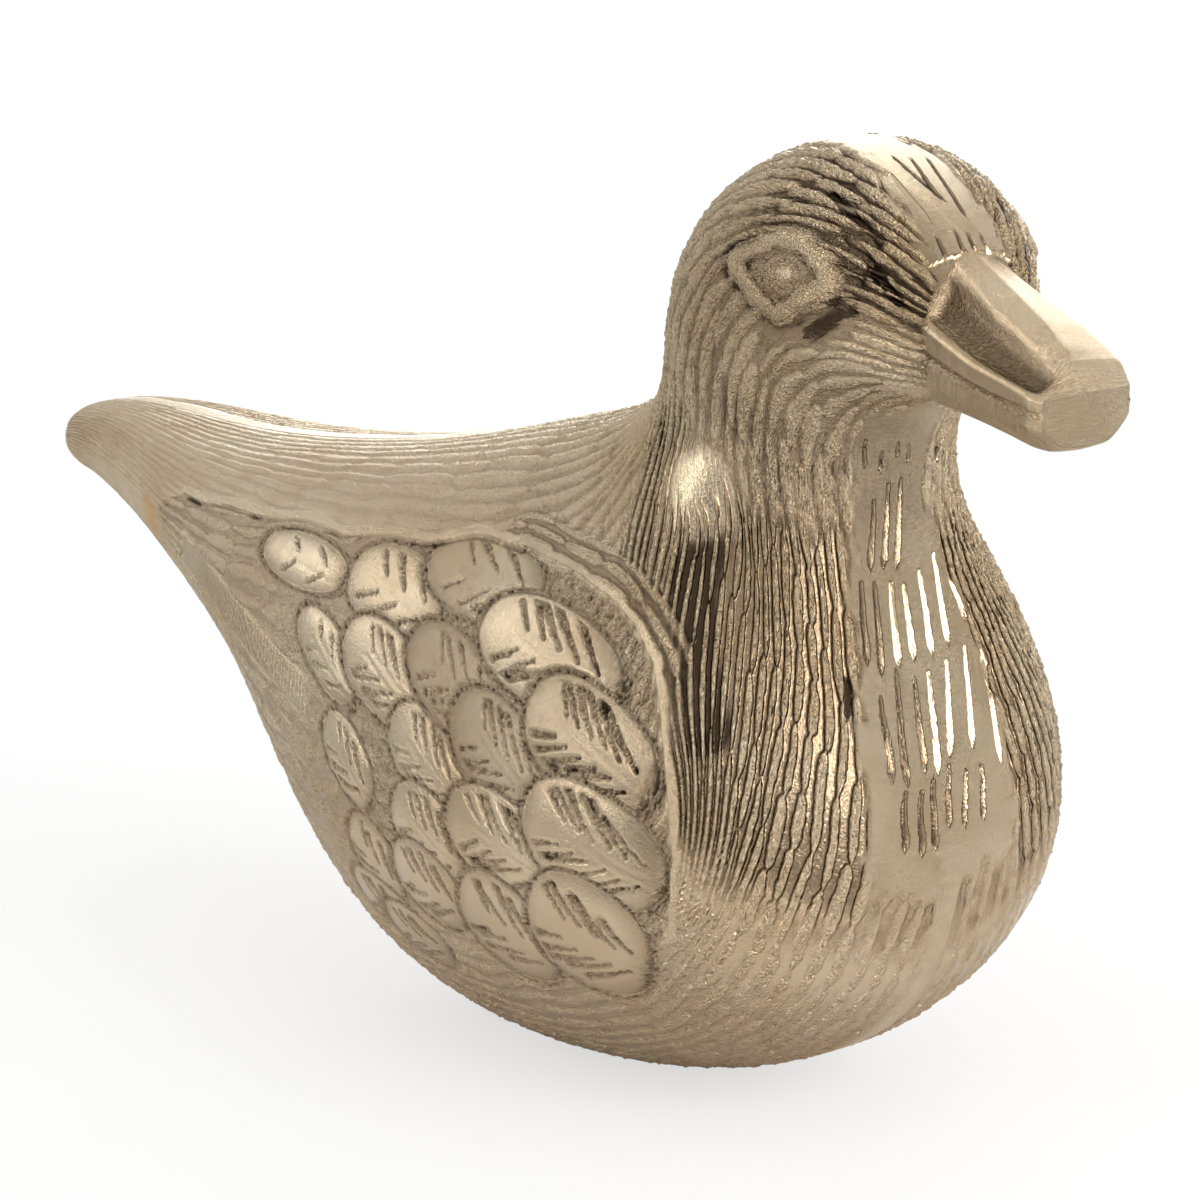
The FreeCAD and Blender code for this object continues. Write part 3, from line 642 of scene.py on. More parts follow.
def lay_face(cast):
    """Round the eye: a smooth cheek, the sunk place behind the eye, gaps in the brow and a short dent, with
    painted shade round the eye's rim and in the gaps and dent.
    """
    cheek = near_path(cast.points, [spot(*at) for at in SMOOTH_CHEEK])[0] + 0.5 * cast.wavy(1.5, 90, 56)
    cast.blend(1 - ramp(1.6, 4.0, cheek), -0.45, 0.3, 0.6)
    from_eye = np.linalg.norm(cast.points - eye_middle, axis=-1)
    cast.blend(1 - ramp(6.0, 8.6, from_eye), -0.3, 0.7, 0.2)
    from_rim = near_path(cast.points, eye_rim)[0] + 0.4 * cast.wavy(1.2, 90, 58)
    # Painted shade round the eye's rim
    cast.at_least("painted_shade", 0.5 * (1 - ramp(2.2, 4.6, from_rim)))
    for start_at, end_at in BROW_GAPS:
        away = near_path(cast.points, on_skin(start_at, end_at))[0]
        cast.sink(1 - ramp(0.5, 1.4, away), 0.45, 0.8, 0.9, 0.45)
    dent = near_path(cast.points, on_skin(*EYE_DENT))[0] + 0.7 * cast.wavy(1.4, 80, 57)
    cast.sink(1 - ramp(0.9, 2.6, dent), 0.45, 0.7, 0.95, 0.1)


def lay_ground_band(cast, painted_neck_shade):
    """The ground band down the breast and throat and over the crown, and the strip along the weld."""
    wobble = 1.6 * cast.wavy(3.0, 70, 60) + 1.0 * cast.wavy(9.0, 20, 61)
    breast_reach = np.interp(cast.ring, [9.0, 9.4, 10.0, 11.0, 11.8, 12.3, 13.0], [16, 18, 17, 13, 9, 8, 9])
    mask = (1 - ramp(-1.0, 1.0, cast.seam_away + wobble - breast_reach)) * ramp(0.36, 0.40, cast.turn_to)
    mask = mask * ramp(9.35, 9.85, cast.ring + 0.16 * wobble) * (1 - ramp(13.2, 13.9, cast.ring))
    cast.blend(mask, -0.12, 0.03, 0.6)
    # Painted shade where the band runs down the throat
    cast.at_least("painted_shade", 0.55 * mask * painted_neck_shade)
    crown_reach = np.interp(cast.ring, [14.0, 14.6, 15.4, 16.2, 17.0], [3.0, 5.0, 6.5, 8.0, 9.0])
    mask = (1 - ramp(-1.2, 1.2, cast.seam_away + wobble - crown_reach)) * (1 - ramp(0.16, 0.20, cast.turn_to))
    cast.blend(mask * ramp(14.2, 14.9, cast.ring), -0.12, 0.05, 0.6)
    cast.blend(1 - ramp(1.6, 3.4, cast.seam_away), -0.12, 0.08, 0.55)


def relief(ring, turn_to, points, along, seed):
    """The form of one half of the skin. turn_to goes from 0 at the back to a half at the belly."""
    cast = Cast(ring, turn_to, points, along, seed)
    belly_crest = cast.rows(BELLY_STROKES)
    lay_back(cast)
    lay_belly(cast, belly_crest)
    lay_wing_field(cast, belly_crest)
    lay_breast(cast)
    lay_edge_rows(cast)
    painted_neck_shade = lay_neck_and_head(cast)
    for number, (root_at, tip_at, width, cuts) in enumerate(FEATHERS):
        lay_feather(cast.form, points, root_at, tip_at, width, cuts, seed + number)
    for start_at, end_at, width in LADDERS:
        lay_ladder(cast, start_at, end_at, width)
    lay_wing_edge(cast)
    lay_neck_bulge(cast)
    lay_face(cast)
    lay_ground_band(cast, painted_neck_shade)
    cast.blend(1 - ramp(BASE_Z, BASE_Z + 1.5, points[..., 2]), -0.1, 0.1, 0.4)
    return cast.form


# Groups of cuts: half width and depth in millimetres, and how much painted shade their floor gets as a dark
# reflection, or below zero how much groove darkening it loses so that it stays bright
CUT_GROUPS = [
    (DARK_CUTS, 0.80, 0.62, 0.55),
    (BRIGHT_CUTS, 0.84, 0.62, -0.8),
    (THROAT_CUTS, 0.46, 0.45, 0.6),
    (CROWN_CUTS, 0.50, 0.50, 0.65),
    (BRIGHT_CROWN_CUTS, 0.55, 0.50, -0.8),
]


def all_cuts(form, points):
    """The chisel cuts of the breast, throat and crown, and the line round the root of the bill."""
    for cuts, half_width, depth, dark_reflection_shade in CUT_GROUPS:
        for start_at, end_at in cuts:
            cut(form, points, on_skin(start_at, end_at), half_width, depth, dark_reflection_shade)
    cut(form, points, [spot(*at) for at in BILL_ROOT_LINE], 0.75, 0.5, -0.8)


def even_rings():
    """Rows of the skin, close enough together to hold the shortest stroke."""
    ring = np.linspace(0, LAST_RING, 1361)
    sample = skin(ring, np.tile(np.linspace(0, 0.5, 41), (len(ring), 1)))
    reach = np.percentile(np.linalg.norm(np.diff(sample, axis=0), axis=-1), 75, axis=1)
    spacing = np.interp(ring[1:], [0, 3, 4.5, LAST_RING], [0.9, 0.8, 0.52, 0.46])
    count = np.concatenate([[0], np.cumsum(reach / spacing)])
    return np.interp(np.linspace(0, count[-1], int(count[-1]) + 1), count, ring)


rings = even_rings()
COLUMNS = 440
column_places = np.interp(np.arange(COLUMNS + 1), [0, 62, 362, COLUMNS], [0, 0.18, 0.84, 1.0])


def seam_turns(half_width):
    """For each row, the turns near the back and near the belly that are half_width from the middle plane."""
    upper = np.linspace(0, 0.24, 200)
    lower = np.linspace(0.5, 0.30, 200)
    top_y = -skin(rings, np.tile(upper, (len(rings), 1)))[..., 1]
    low_y = -skin(rings, np.tile(lower, (len(rings), 1)))[..., 1]
    tops = np.array([np.interp(half_width, row, upper) for row in top_y])
    lows = np.array([np.interp(half_width, row, lower) for row in low_y])
    return tops, lows


seam_top, seam_low = seam_turns(WELD_WIDTH / 2)
# Near the tail's end the rings shrink, so the weld keeps the turn that it has further on
steady = rings < TAIL_ROUNDING
seam_top[steady] = seam_top[~steady][0]
seam_low[steady] = seam_low[~steady][0]


def sheet_normals(points, plain):
    """Normals of a dressed sheet from its own faces, and of the plain skin along its two long edges."""
    across = points[:-1, 1:] - points[1:, :-1]
    along = points[1:, 1:] - points[:-1, :-1]
    faces = np.cross(across, along)
    normals = np.zeros(points.shape)
    for rows in (slice(None, -1), slice(1, None)):
        for columns in (slice(None, -1), slice(1, None)):
            normals[rows, columns] += faces
    normals /= np.maximum(np.linalg.norm(normals, axis=-1, keepdims=True), 1e-9)
    smooth = outward(plain)
    normals[:, 0], normals[:, -1] = smooth[:, 0], smooth[:, -1]
    return normals


def lengths(points):
    """Millimetres along each column and across each row of a sheet of points."""
    along = np.zeros(points.shape[:2])
    along[1:] = np.cumsum(np.linalg.norm(np.diff(points, axis=0), axis=-1), axis=0)
    across = np.zeros(points.shape[:2])
    across[:, 1:] = np.cumsum(np.linalg.norm(np.diff(points, axis=1), axis=-1), axis=1)
    return along, across


# Height of the sand grain and size of the orange spot, in millimetres
SAND_HEIGHT = 0.22
TARNISH_RADIUS = 5.0


def dress(turns, seed, mirrored):
    """The dressed skin over rows of turns from 0 to a half: its form and its sheets."""
    plain = skin(rings, turns)
    normals = outward(plain)
    along, across = lengths(plain)
    form = relief(rings, turns, plain, along, seed)
    real = plain * MIRROR if mirrored else plain
    all_cuts(form, real)
    grit = np.random.default_rng(seed).standard_normal(turns.shape)
    grit = 0.6 * grit + 0.4 * np.roll(grit, 1, 0)
    form["height"] += SAND_HEIGHT * form["grain"] ** 1.5 * np.clip(grit, -2.0, 1.6) - 0.06 * form["grain"]
    orange = np.clip(1 - np.linalg.norm(real - spot(*TARNISH), axis=-1) / TARNISH_RADIUS, 0, 1) ** 0.7
    form["tarnish"] = orange * (0.6 + 0.4 * wander(along / 1.5, across / 1.5, 5))
    points = plain + normals * form["height"][..., None]
    points[..., 2] = np.maximum(points[..., 2], BASE_Z)
    points[..., 1] = np.maximum(points[..., 1], -BROADEST)
    facing = sheet_normals(points, plain)
    inner = plain - normals * WALL
    inner[..., 2] = np.maximum(inner[..., 2], BASE_Z + WALL)
    inner[..., 1] = np.minimum(inner[..., 1], -WELD_WIDTH / 2 - 0.05)
    if mirrored:
        points, inner, facing = points * MIRROR, inner * MIRROR, facing * MIRROR
    return form, (points, inner, facing, along, across)


def kept_steps(count, every):
    """Row or column numbers of the coarser inner wall."""
    steps = list(range(0, count, every))
    if steps[-1] != count - 1:
        if count - 1 - steps[-1] < every // 2:
            steps[-1] = count - 1
        else:
            steps.append(count - 1)
    return steps


def zip_edges(fine, coarse, kept):
    """Triangles between an edge of the outer skin and the same edge of the inner wall."""
    faces = []
    for index in range(len(kept) - 1):
        middle = (kept[index] + kept[index + 1]) // 2
        for at in range(kept[index], middle):
            faces.append((fine[at], fine[at + 1], coarse[index]))
        faces.append((fine[middle], coarse[index + 1], coarse[index]))
        for at in range(middle, kept[index + 1]):
            faces.append((fine[at], fine[at + 1], coarse[index + 1]))
    return faces


# Painted groove shade: a height this far down starts to darken brown, and is fully dark after the range, in
# millimetres
CAVITY_FROM = 0.2
CAVITY_RANGE = 0.8
FLOW_SIZE = 256


def shell(name, form, points, inner, facing, along, across, every=10):
    """A closed piece of the casting: the dressed skin outside, and a plainer wall inside."""
    rows, columns = points.shape[:2]
    kept_rows, kept_columns = kept_steps(rows, every), kept_steps(columns, every)
    outer = np.arange(rows * columns).reshape(rows, columns)
    coarse_inner = inner[np.ix_(kept_rows, kept_columns)]
    wall = rows * columns + np.arange(len(kept_rows) * len(kept_columns)).reshape(coarse_inner.shape[:2])
    vertices = np.concatenate([points.reshape(-1, 3), coarse_inner.reshape(-1, 3)]) * MM
    faces = []
    for sheet in (outer, wall):
        corners = np.stack([sheet[:-1, :-1], sheet[:-1, 1:], sheet[1:, 1:], sheet[1:, :-1]], -1)
        faces += corners.reshape(-1, 4).tolist()
    for fine, coarse, kept in ((outer[0], wall[0], kept_columns), (outer[-1], wall[-1], kept_columns),
                               (outer[:, 0], wall[:, 0], kept_rows), (outer[:, -1], wall[:, -1], kept_rows)):
        faces += zip_edges(fine.tolist(), coarse.tolist(), kept)
    count = rows * columns
    # Painted shade: grooves darken with their depth, and the painted shade layer adds to that
    painted_shade_level = (-form["height"] - CAVITY_FROM) / CAVITY_RANGE + form["painted_shade"]
    colours = np.ones((len(vertices), 4))
    for channel, value in enumerate((painted_shade_level, form["grain"], form["ground"], form["tarnish"])):
        colours[:count, channel] = np.clip(value, 0, 1).ravel()
    flow = np.zeros((len(vertices), 2))
    flow[:count, 0] = along.ravel() / FLOW_SIZE
    flow[:count, 1] = across.ravel() / FLOW_SIZE
    normals = np.zeros((len(vertices), 3))
    normals[:count] = facing.reshape(-1, 3)
    return solid_piece(name, vertices, faces, colours, flow, normals)


def solid_piece(name, vertices, faces, colours, flow, normals=None):
    """A mesh piece with its relief colours and its flow map, normals outwards."""
    mesh = bpy.data.meshes.new(name)
    mesh.from_pydata(vertices.tolist(), [], faces)
    piece = bpy.data.objects.new(name, mesh)
    bpy.context.collection.objects.link(piece)
    relief_layer = mesh.attributes.new("relief", "FLOAT_COLOR", "POINT")
    relief_layer.data.foreach_set("color", colours.ravel())
    corner = np.zeros(len(mesh.loops), dtype=np.int32)
    mesh.loops.foreach_get("vertex_index", corner)
    mesh.uv_layers.new(name="flow").data.foreach_set("uv", flow[corner].ravel())
    bpy.ops.object.select_all(action="DESELECT")
    piece.select_set(True)
    bpy.context.view_layer.objects.active = piece
    bpy.ops.object.mode_set(mode="EDIT")
    bpy.ops.mesh.select_all(action="SELECT")
    bpy.ops.mesh.normals_make_consistent(inside=False)
    bpy.ops.object.mode_set(mode="OBJECT")
    bpy.ops.object.shade_smooth()
    if normals is not None:
        mesh.normals_split_custom_set_from_vertices(normals.tolist())
    return piece


def node(tree, kind, **settings):
    """A shader node, with its settings and sockets filled in by name."""
    made = tree.nodes.new(kind)
    for name, value in settings.items():
        if hasattr(made, name):
            setattr(made, name, value)
        else:
            made.inputs[name.replace("_", " ")].default_value = value
    return made


def join(tree, start, start_socket, end, end_socket):
    """Link an output of one node to an input of another."""
    tree.links.new(start.outputs[start_socket], end.inputs[end_socket])


def mixed(tree, factor, first, second):
    """Mix two colours by a node's output. Each colour is given as a colour or as a node's output."""
    mix = tree.nodes.new("ShaderNodeMix")
    mix.data_type = "RGBA"
    tree.links.new(factor, mix.inputs[0])
    for socket, value in ((6, first), (7, second)):
        if isinstance(value, tuple):
            mix.inputs[socket].default_value = value
        else:
            tree.links.new(value, mix.inputs[socket])
    return mix.outputs[2]


def arithmetic(tree, operation, first, second, clamp=False):
    """One sum on two values, each given as a number or as a node's output."""
    made = tree.nodes.new("ShaderNodeMath")
    made.operation = operation
    made.use_clamp = clamp
    for socket, value in ((0, first), (1, second)):
        if isinstance(value, (int, float)):
            made.inputs[socket].default_value = value
        else:
            tree.links.new(value, made.inputs[socket])
    return made.outputs[0]


def ranged(tree, value, low, high, top=1.0, curve="LINEAR"):
    """Spread a value that runs from low to high over 0 to top."""
    made = node(tree, "ShaderNodeMapRange", interpolation_type=curve, From_Min=low, From_Max=high, To_Max=top)
    tree.links.new(value, made.inputs["Value"])
    return made.outputs[0]


def noise(tree, at, scale, detail, roughness=0.5):
    """Noise at places of the object, with scale in cells a metre."""
    made = node(tree, "ShaderNodeTexNoise", Scale=scale, Detail=detail, Roughness=roughness)
    tree.links.new(at, made.inputs["Vector"])
    return made.outputs["Fac"]


def bump(tree, height, distance, strength=1.0):
    """A bump of up to distance metres."""
    made = node(tree, "ShaderNodeBump", Strength=strength, Distance=distance)
    tree.links.new(height, made.inputs["Height"])
    return made


PALE_BRASS = (0.61, 0.503, 0.350, 1)
WARM_BRASS = (0.53, 0.41, 0.26, 1)
# Colours of the painted groove shade, and of its deepest places
GROOVE_SHADE_BROWN = (0.24, 0.165, 0.10, 1)
DEEPEST_SHADE_BROWN = (0.055, 0.036, 0.022, 1)
# Brown low on the belly, part the base's own colour and part painted shade
BELLY_BROWN_AND_SHADE = (0.40, 0.27, 0.15, 1)
ORANGE_TARNISH = (0.62, 0.33, 0.07, 1)
# Cells a metre of the clouds, specks and sand, and the stretch of the scratches
CLOUD_SCALE = 38.0
SPECK_SCALE = 900.0
SAND_SCALE = 2000.0
SCRATCH_STRETCH = (1500.0, 55.0, 1.0)


def brass_colour(tree, at, cloud, painted_shade_level, tarnish):
    """Pale and warm brass in clouds, darkened brown by painted shade in the grooves and wherever the relief
    says, browner low on the belly with painted shade there too, and an orange spot.
    """
    speck = noise(tree, at, SPECK_SCALE, 2.0, 0.6)
    colour = mixed(tree, ranged(tree, cloud, 0.40, 0.66), PALE_BRASS, WARM_BRASS)
    groove_shade_mix = arithmetic(tree, "MULTIPLY", painted_shade_level, arithmetic(tree, "ADD", 0.35, speck))
    colour = mixed(tree, groove_shade_mix, colour, GROOVE_SHADE_BROWN)
    colour = mixed(tree, ranged(tree, painted_shade_level, 0.66, 1.0), colour, DEEPEST_SHADE_BROWN)
    height = node(tree, "ShaderNodeSeparateXYZ")
    tree.links.new(at, height.inputs["Vector"])
    # Browner towards the bottom: the base's own brown, with painted shade for the floor's dim reflection added
    colour = mixed(tree, ranged(tree, height.outputs["Z"], 0.064, 0.004, top=0.42), colour, BELLY_BROWN_AND_SHADE)
    return mixed(tree, tarnish, colour, ORANGE_TARNISH)


def brass_roughness(tree, cloud, ground, finishes):
    """Roughness of the finish: matt, tumbled bright, brushed or polished, and a little duller in clouds."""
    finish = tree.nodes.new("ShaderNodeValToRGB")
    stops = finish.color_ramp.elements
    for position in (0.3, 0.6):
        stops.new(position)
    for stop, value in zip(stops, finishes):
        stop.color = (value, value, value, 1)
    tree.links.new(ground, finish.inputs["Fac"])
    dull = arithmetic(tree, "MULTIPLY", arithmetic(tree, "SUBTRACT", cloud, 0.5), 0.12)
    return arithmetic(tree, "ADD", finish.outputs["Color"], dull, clamp=True)


def brass_surface(tree, at, grain, ground, grain_depth, scratch_depth):
    """Sand grain where the casting was left rough, and fine scratches where it was ground."""
    sand = noise(tree, at, SAND_SCALE, 2.0, 0.65)
    sanded = arithmetic(tree, "MULTIPLY", sand, arithmetic(tree, "ADD", 0.12, grain))
    sand_bump = bump(tree, sanded, grain_depth)
    flow = node(tree, "ShaderNodeUVMap", uv_map="flow")
    stretch = node(tree, "ShaderNodeMapping")
    stretch.inputs["Scale"].default_value = SCRATCH_STRETCH
    join(tree, flow, "UV", stretch, "Vector")
    scratches = noise(tree, stretch.outputs["Vector"], 1.0, 4.0, 0.7)
    from_brushed = arithmetic(tree, "ABSOLUTE", arithmetic(tree, "SUBTRACT", ground, 0.62), 0.0)
    brushed = ranged(tree, from_brushed, 0.30, 0.05, curve="SMOOTHSTEP")
    scored = arithmetic(tree, "MULTIPLY", scratches, brushed)
    scratch_bump = bump(tree, scored, scratch_depth)
    join(tree, sand_bump, "Normal", scratch_bump, "Normal")
    return scratch_bump.outputs["Normal"]


def brass(name, finishes, grain_depth, scratch_depth):
    """Cast brass. finishes are the roughness of its matt, bright, brushed and polished places."""
    material = bpy.data.materials.new(name)
    material.use_nodes = True
    tree = material.node_tree
    shader = tree.nodes["Principled BSDF"]
    shader.inputs["Metallic"].default_value = 1.0
    relief_map = node(tree, "ShaderNodeAttribute", attribute_name="relief")
    parts = node(tree, "ShaderNodeSeparateColor")
    join(tree, relief_map, "Color", parts, "Color")
    painted_shade_level, grain, ground = parts.outputs[0], parts.outputs[1], parts.outputs[2]
    at = node(tree, "ShaderNodeTexCoord").outputs["Object"]
    cloud = noise(tree, at, CLOUD_SCALE, 3.0, 0.55)
    made = (("Base Color", brass_colour(tree, at, cloud, painted_shade_level, relief_map.outputs["Alpha"])),
            ("Roughness", brass_roughness(tree, cloud, ground, finishes)),
            ("Normal", brass_surface(tree, at, grain, ground, grain_depth, scratch_depth)))
    for socket, value in made:
        tree.links.new(value, shader.inputs[socket])
    return material


cast_brass = brass("cast_brass", (0.38, 0.17, 0.26, 0.10), 0.00085, 0.00050)
ground_brass = brass("ground_brass", (0.36, 0.20, 0.26, 0.12), 0.00060, 0.00050)


def soft_pad_material():
    """Milky soft plastic, faintly mottled."""
    material = bpy.data.materials.new("soft_pad")
    material.use_nodes = True
    tree = material.node_tree
    shader = tree.nodes["Principled BSDF"]
    shader.inputs["Roughness"].default_value = 0.45
    mottle = noise(tree, node(tree, "ShaderNodeTexCoord").outputs["Object"], 420.0, 3.0)
    colour = mixed(tree, mottle, (0.62, 0.60, 0.60, 1), (0.78, 0.77, 0.78, 1))
    tree.links.new(colour, shader.inputs["Base Color"])
    join(tree, bump(tree, mottle, 0.0001, strength=0.4), "Normal", shader, "Normal")
    return material


soft_pad = soft_pad_material()


def finish_piece(piece, material, slot_name, *nodes):
    """Give a piece its material, hide the part's nodes that it stands for, and hang it under the root."""
    piece.data.materials.clear()
    piece.data.materials.append(material)
    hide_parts(*nodes)
    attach(piece, "root")


# Where the long skin of each half is divided, as ring numbers
PIECE_ENDS = [
    ("tail", 0.0, 5.9),
    ("wing", 5.9, 8.65),
    ("breast", 8.65, 11.0),
    ("neck", 11.0, 13.6),
    ("head", 13.6, 17.0),
]
WELD_COLUMNS = 13
WELD_SEED = 3


def dress_half(side, seed, mirrored):
    """The skin of one half casting, in pieces from the tail to the head."""
    turns = seam_top[:, None] + (seam_low - seam_top)[:, None] * column_places[None, :]
    form, sheets = dress(turns, seed, mirrored)
    for part, low, high in PIECE_ENDS:
        kept = slice(int(np.argmin(np.abs(rings - low))), int(np.argmin(np.abs(rings - high))) + 1)
        kept_form = {layer: value[kept] for layer, value in form.items()}
        piece = shell(f"{side}_{part}_skin", kept_form, *[sheet[kept] for sheet in sheets])
        finish_piece(piece, cast_brass, "cast_brass", f"{side}_casting")
        print(piece.name, "triangles", sum(len(face.vertices) - 2 for face in piece.data.polygons))


def dress_weld():
    """The weld: a strip over the back and crown, and one under the belly and up the throat."""
    strips = (("seam_weld_upper", 0.0, seam_top), ("seam_weld_lower", 0.5, 0.5 - seam_low))
    for name, middle, half in strips:
        turns = middle + half[:, None] * np.linspace(-1, 1, WELD_COLUMNS)[None, :]
        plain = skin(rings, turns)
        normals = outward(plain)
        along, across = lengths(plain)
        folded_turns = np.where(turns < 0, -turns, np.where(turns > 0.5, 1 - turns, turns))
        folded = plain.copy()
        folded[..., 1] = -np.abs(folded[..., 1])
        form = relief(rings, folded_turns, folded, along, WELD_SEED)
        all_cuts(form, plain)
        points = plain + normals * form["height"][..., None]
        points[..., 2] = np.maximum(points[..., 2], BASE_Z)
        inner = plain - normals * WELD_DEPTH
        inner[..., 2] = np.maximum(inner[..., 2], BASE_Z + WELD_DEPTH)
        piece = shell(name, form, points, inner, sheet_normals(points, plain), along, across, every=6)
        finish_piece(piece, cast_brass, "ground_brass", "seam_weld")


def bill_row(share):
    """The bill's key sizes at one place along it, in millimetres."""
    shares = [row[0] for row in BILL_SHARES]
    heights = [np.interp(share, shares, [row[1][index] for row in BILL_SHARES]) for index in range(7)]
    widths = [np.interp(share, shares, [row[2][index] for row in BILL_SHARES]) for index in range(5)]
    foot = BASE_Z + BILL_FOOT_SHARE * CASTING_HEIGHT
    return [foot + value * BILL_HEIGHT for value in heights], [value * BILL_WIDTH for value in widths]


def smooth_face(part, share, size):
    """A ground face of the bill: how far it is pushed out, its sand grain and its grinding."""
    return np.zeros(len(part)), np.zeros(len(part)), np.full(len(part), BILL_GROUND)


def facet_face(part, share, size):
    """The hollow facet, rough at its floor, with a line that stands over the lip."""
    room = ramp(-0.02, 0.06, share) * (1 - ramp(0.86, 0.97, share))
    hollow = ramp(0.0, 0.46, part) * (1 - ramp(0.66, 0.88, part))
    lip_line = 1 - ramp(0.03, 0.08, np.abs(part - 0.92))
    rough = room * ramp(0.05, 0.35, part) * (1 - ramp(0.76, 0.86, part))
    return room * (0.45 * lip_line - 1.9 * hollow * min(size / 9.0, 1.0)), 0.40 * rough, 0.65 + 0.25 * rough


def side_face(part, share, size):
    """The side under the lip, with the groove of the mouth and a bead under it."""
    room = 1 - ramp(0.95, 1.0, share)
    groove = 1 - ramp(0.02, 0.055, np.abs(part - 0.42))
    bead = 1 - ramp(0.05, 0.12, np.abs(part - 0.53))
    rough = np.maximum(bead, 0.8 * groove)
    return room * (-0.7 * groove + 0.3 * bead) - 0.15, rough, 0.6 - 0.3 * rough


# Faces of half the bill from its crest to its keel: top, facet, side, turn and under, with points on each
BILL_FACES = [(smooth_face, 30), (facet_face, 64), (side_face, 54), (smooth_face, 14), (smooth_face, 22)]
# How brown and how ground the bill is where nothing else says so
BILL_STAIN = 0.10
BILL_GROUND = 0.6


def half_bill(side, places):
    """One side of the bill, row by row from its crest to its keel: y, z, sand grain, grinding and depth.

    side is -1 on the right and 1 on the left.
    """
    rows = []
    for share in places:
        heights, (rim_y, lip_y, under_y, right_y, left_y) = bill_row(share)
        crest, rim, lip, under, keel, right_z, left_z = heights
        shoulder = (right_y, right_z) if side < 0 else (left_y, left_z)
        keys = np.array([(0, crest), shoulder, (rim_y, rim), (lip_y, lip), (under_y, under), (0, keel)])
        row = []
        for (face, count), start, end in zip(BILL_FACES, keys[:-1], keys[1:]):
            run = end - start
            size = max(np.hypot(*run), 1e-6)
            out = np.array([-run[1], run[0]]) / size
            if out @ (start + end - [0, lip + under]) < 0:
                out = -out
            part = np.linspace(0, 1, count, endpoint=False)
            push, rough, bright = face(part, share, size)
            line = start + run * part[:, None] + out * push[:, None]
            row.append(np.column_stack([line, rough, bright, -push]))
        rows.append(np.concatenate(row + [[[0, keel, 0, 1, 0]]]))
    sheet = np.array(rows)
    sheet[..., 0] *= side
    return sheet


def soften_bill(ring, places):
    """Round the bill's corners a little, and more near its tip, smooth it lengthwise and bevel the tip."""
    for _ in range(5):
        ring = (np.roll(ring, 1, 1) + 2 * ring + np.roll(ring, -1, 1)) / 4
    near_tip = 0.5 * ramp(0.66, 0.97, places)[:, None, None]
    for _ in range(26):
        ring = ring * (1 - near_tip) + (np.roll(ring, 1, 1) + np.roll(ring, -1, 1)) / 2 * near_tip
    for _ in range(4):
        ring = np.concatenate([ring[:1], (ring[:-2] + 2 * ring[1:-1] + ring[2:]) / 4, ring[-1:]])
    middle = ring.mean(axis=1, keepdims=True)
    bevel = np.clip((places - 0.90) / 0.10, 0, 1)
    kept = 1 - 0.15 * (1 - np.sqrt(np.clip(1 - bevel ** 2, 0, 1)))
    return middle + (ring - middle) * kept[:, None, None]


def closed_tube_faces(count, columns):
    """Faces of a tube of rows whose ends are closed round two more vertices, the tip's and the heel's."""
    index = np.arange(count * columns).reshape(count, columns)
    after = np.roll(index, -1, 1)
    faces = np.stack([index[:-1], after[:-1], after[1:], index[1:]], -1).reshape(-1, 4).tolist()
    tip, heel = count * columns, count * columns + 1
    for here, following in zip(index.T.tolist(), after.T.tolist()):
        faces.append((here[-1], following[-1], tip))
        faces.append((here[0], following[0], heel))
    return faces


def dress_bill():
    """The bill: a ground top, hollow facets, a bead under the mouth line and a flat blunt tip."""
    places = np.concatenate([np.linspace(-0.20, 0.895, 100), np.linspace(0.90, 0.9985, 22)])
    right, left = half_bill(-1, places), half_bill(1, places)
    both = np.concatenate([right, left[:, ::-1][:, 1:-1]], axis=1)
    grain, ground, depth = both[..., 2], both[..., 3], both[..., 4]
    rows, columns = grain.shape
    x = np.broadcast_to((ROOT_X + places * BILL_LENGTH)[:, None, None], (rows, columns, 1))
    sheet = np.concatenate([x, soften_bill(both[..., :2], places)], axis=2)
    tip_middle = sheet[-1].mean(axis=0)
    caps = [sheet[-1] * share + tip_middle * (1 - share) for share in (0.97, 0.9, 0.75, 0.5, 0.25)]
    grit = np.clip(np.random.default_rng(12).standard_normal((rows, columns)), -2, 1.6) * 0.13
    normals = np.cross(np.gradient(sheet, axis=0), (np.roll(sheet, -1, 1) - np.roll(sheet, 1, 1)) / 2)
    normals /= np.linalg.norm(normals, axis=-1, keepdims=True)
    sheet = sheet + normals * (grit * grain)[..., None]
    sheet[..., 0] = np.minimum(sheet[..., 0], FOREMOST)
    every = np.concatenate([sheet, np.array(caps)])
    vertices = np.concatenate([every.reshape(-1, 3), [every[-1].mean(axis=0)], [every[0].mean(axis=0)]])
    held = rows * columns
    colours = np.tile([BILL_STAIN, 0.0, BILL_GROUND, 0.0], (len(vertices), 1))
    # Painted shade: the hollow facet darkens with its depth, standing for a dark reflection
    colours[:held, 0] = np.clip(BILL_STAIN + depth / 2.6, 0, 1).ravel()
    colours[:held, 1] = grain.ravel()
    colours[:held, 2] = ground.ravel()
    flow = vertices[:, :2] / FLOW_SIZE
    flow[held:, 0] += vertices[held:, 2] / FLOW_SIZE
    piece = solid_piece("bill", vertices * MM, closed_tube_faces(len(every), columns), colours, flow)
    finish_piece(piece, ground_brass, "ground_brass", "right_casting", "left_casting")


# The eye: half lengths of its sheet and of its oval ring and pupil, in millimetres
EYE_HALVES = (12.6, 10.2)
EYE_STEPS = (170, 136)
RIM_RADIUS = 1.35
RING_HALVES = (4.0, 3.0)
RING_POWER = 1.4
PUPIL_HALVES = (1.8, 1.6)
EYE_BACK = 2.4
# Which corner of the rim points forwards
FRONT_CORNER = 5


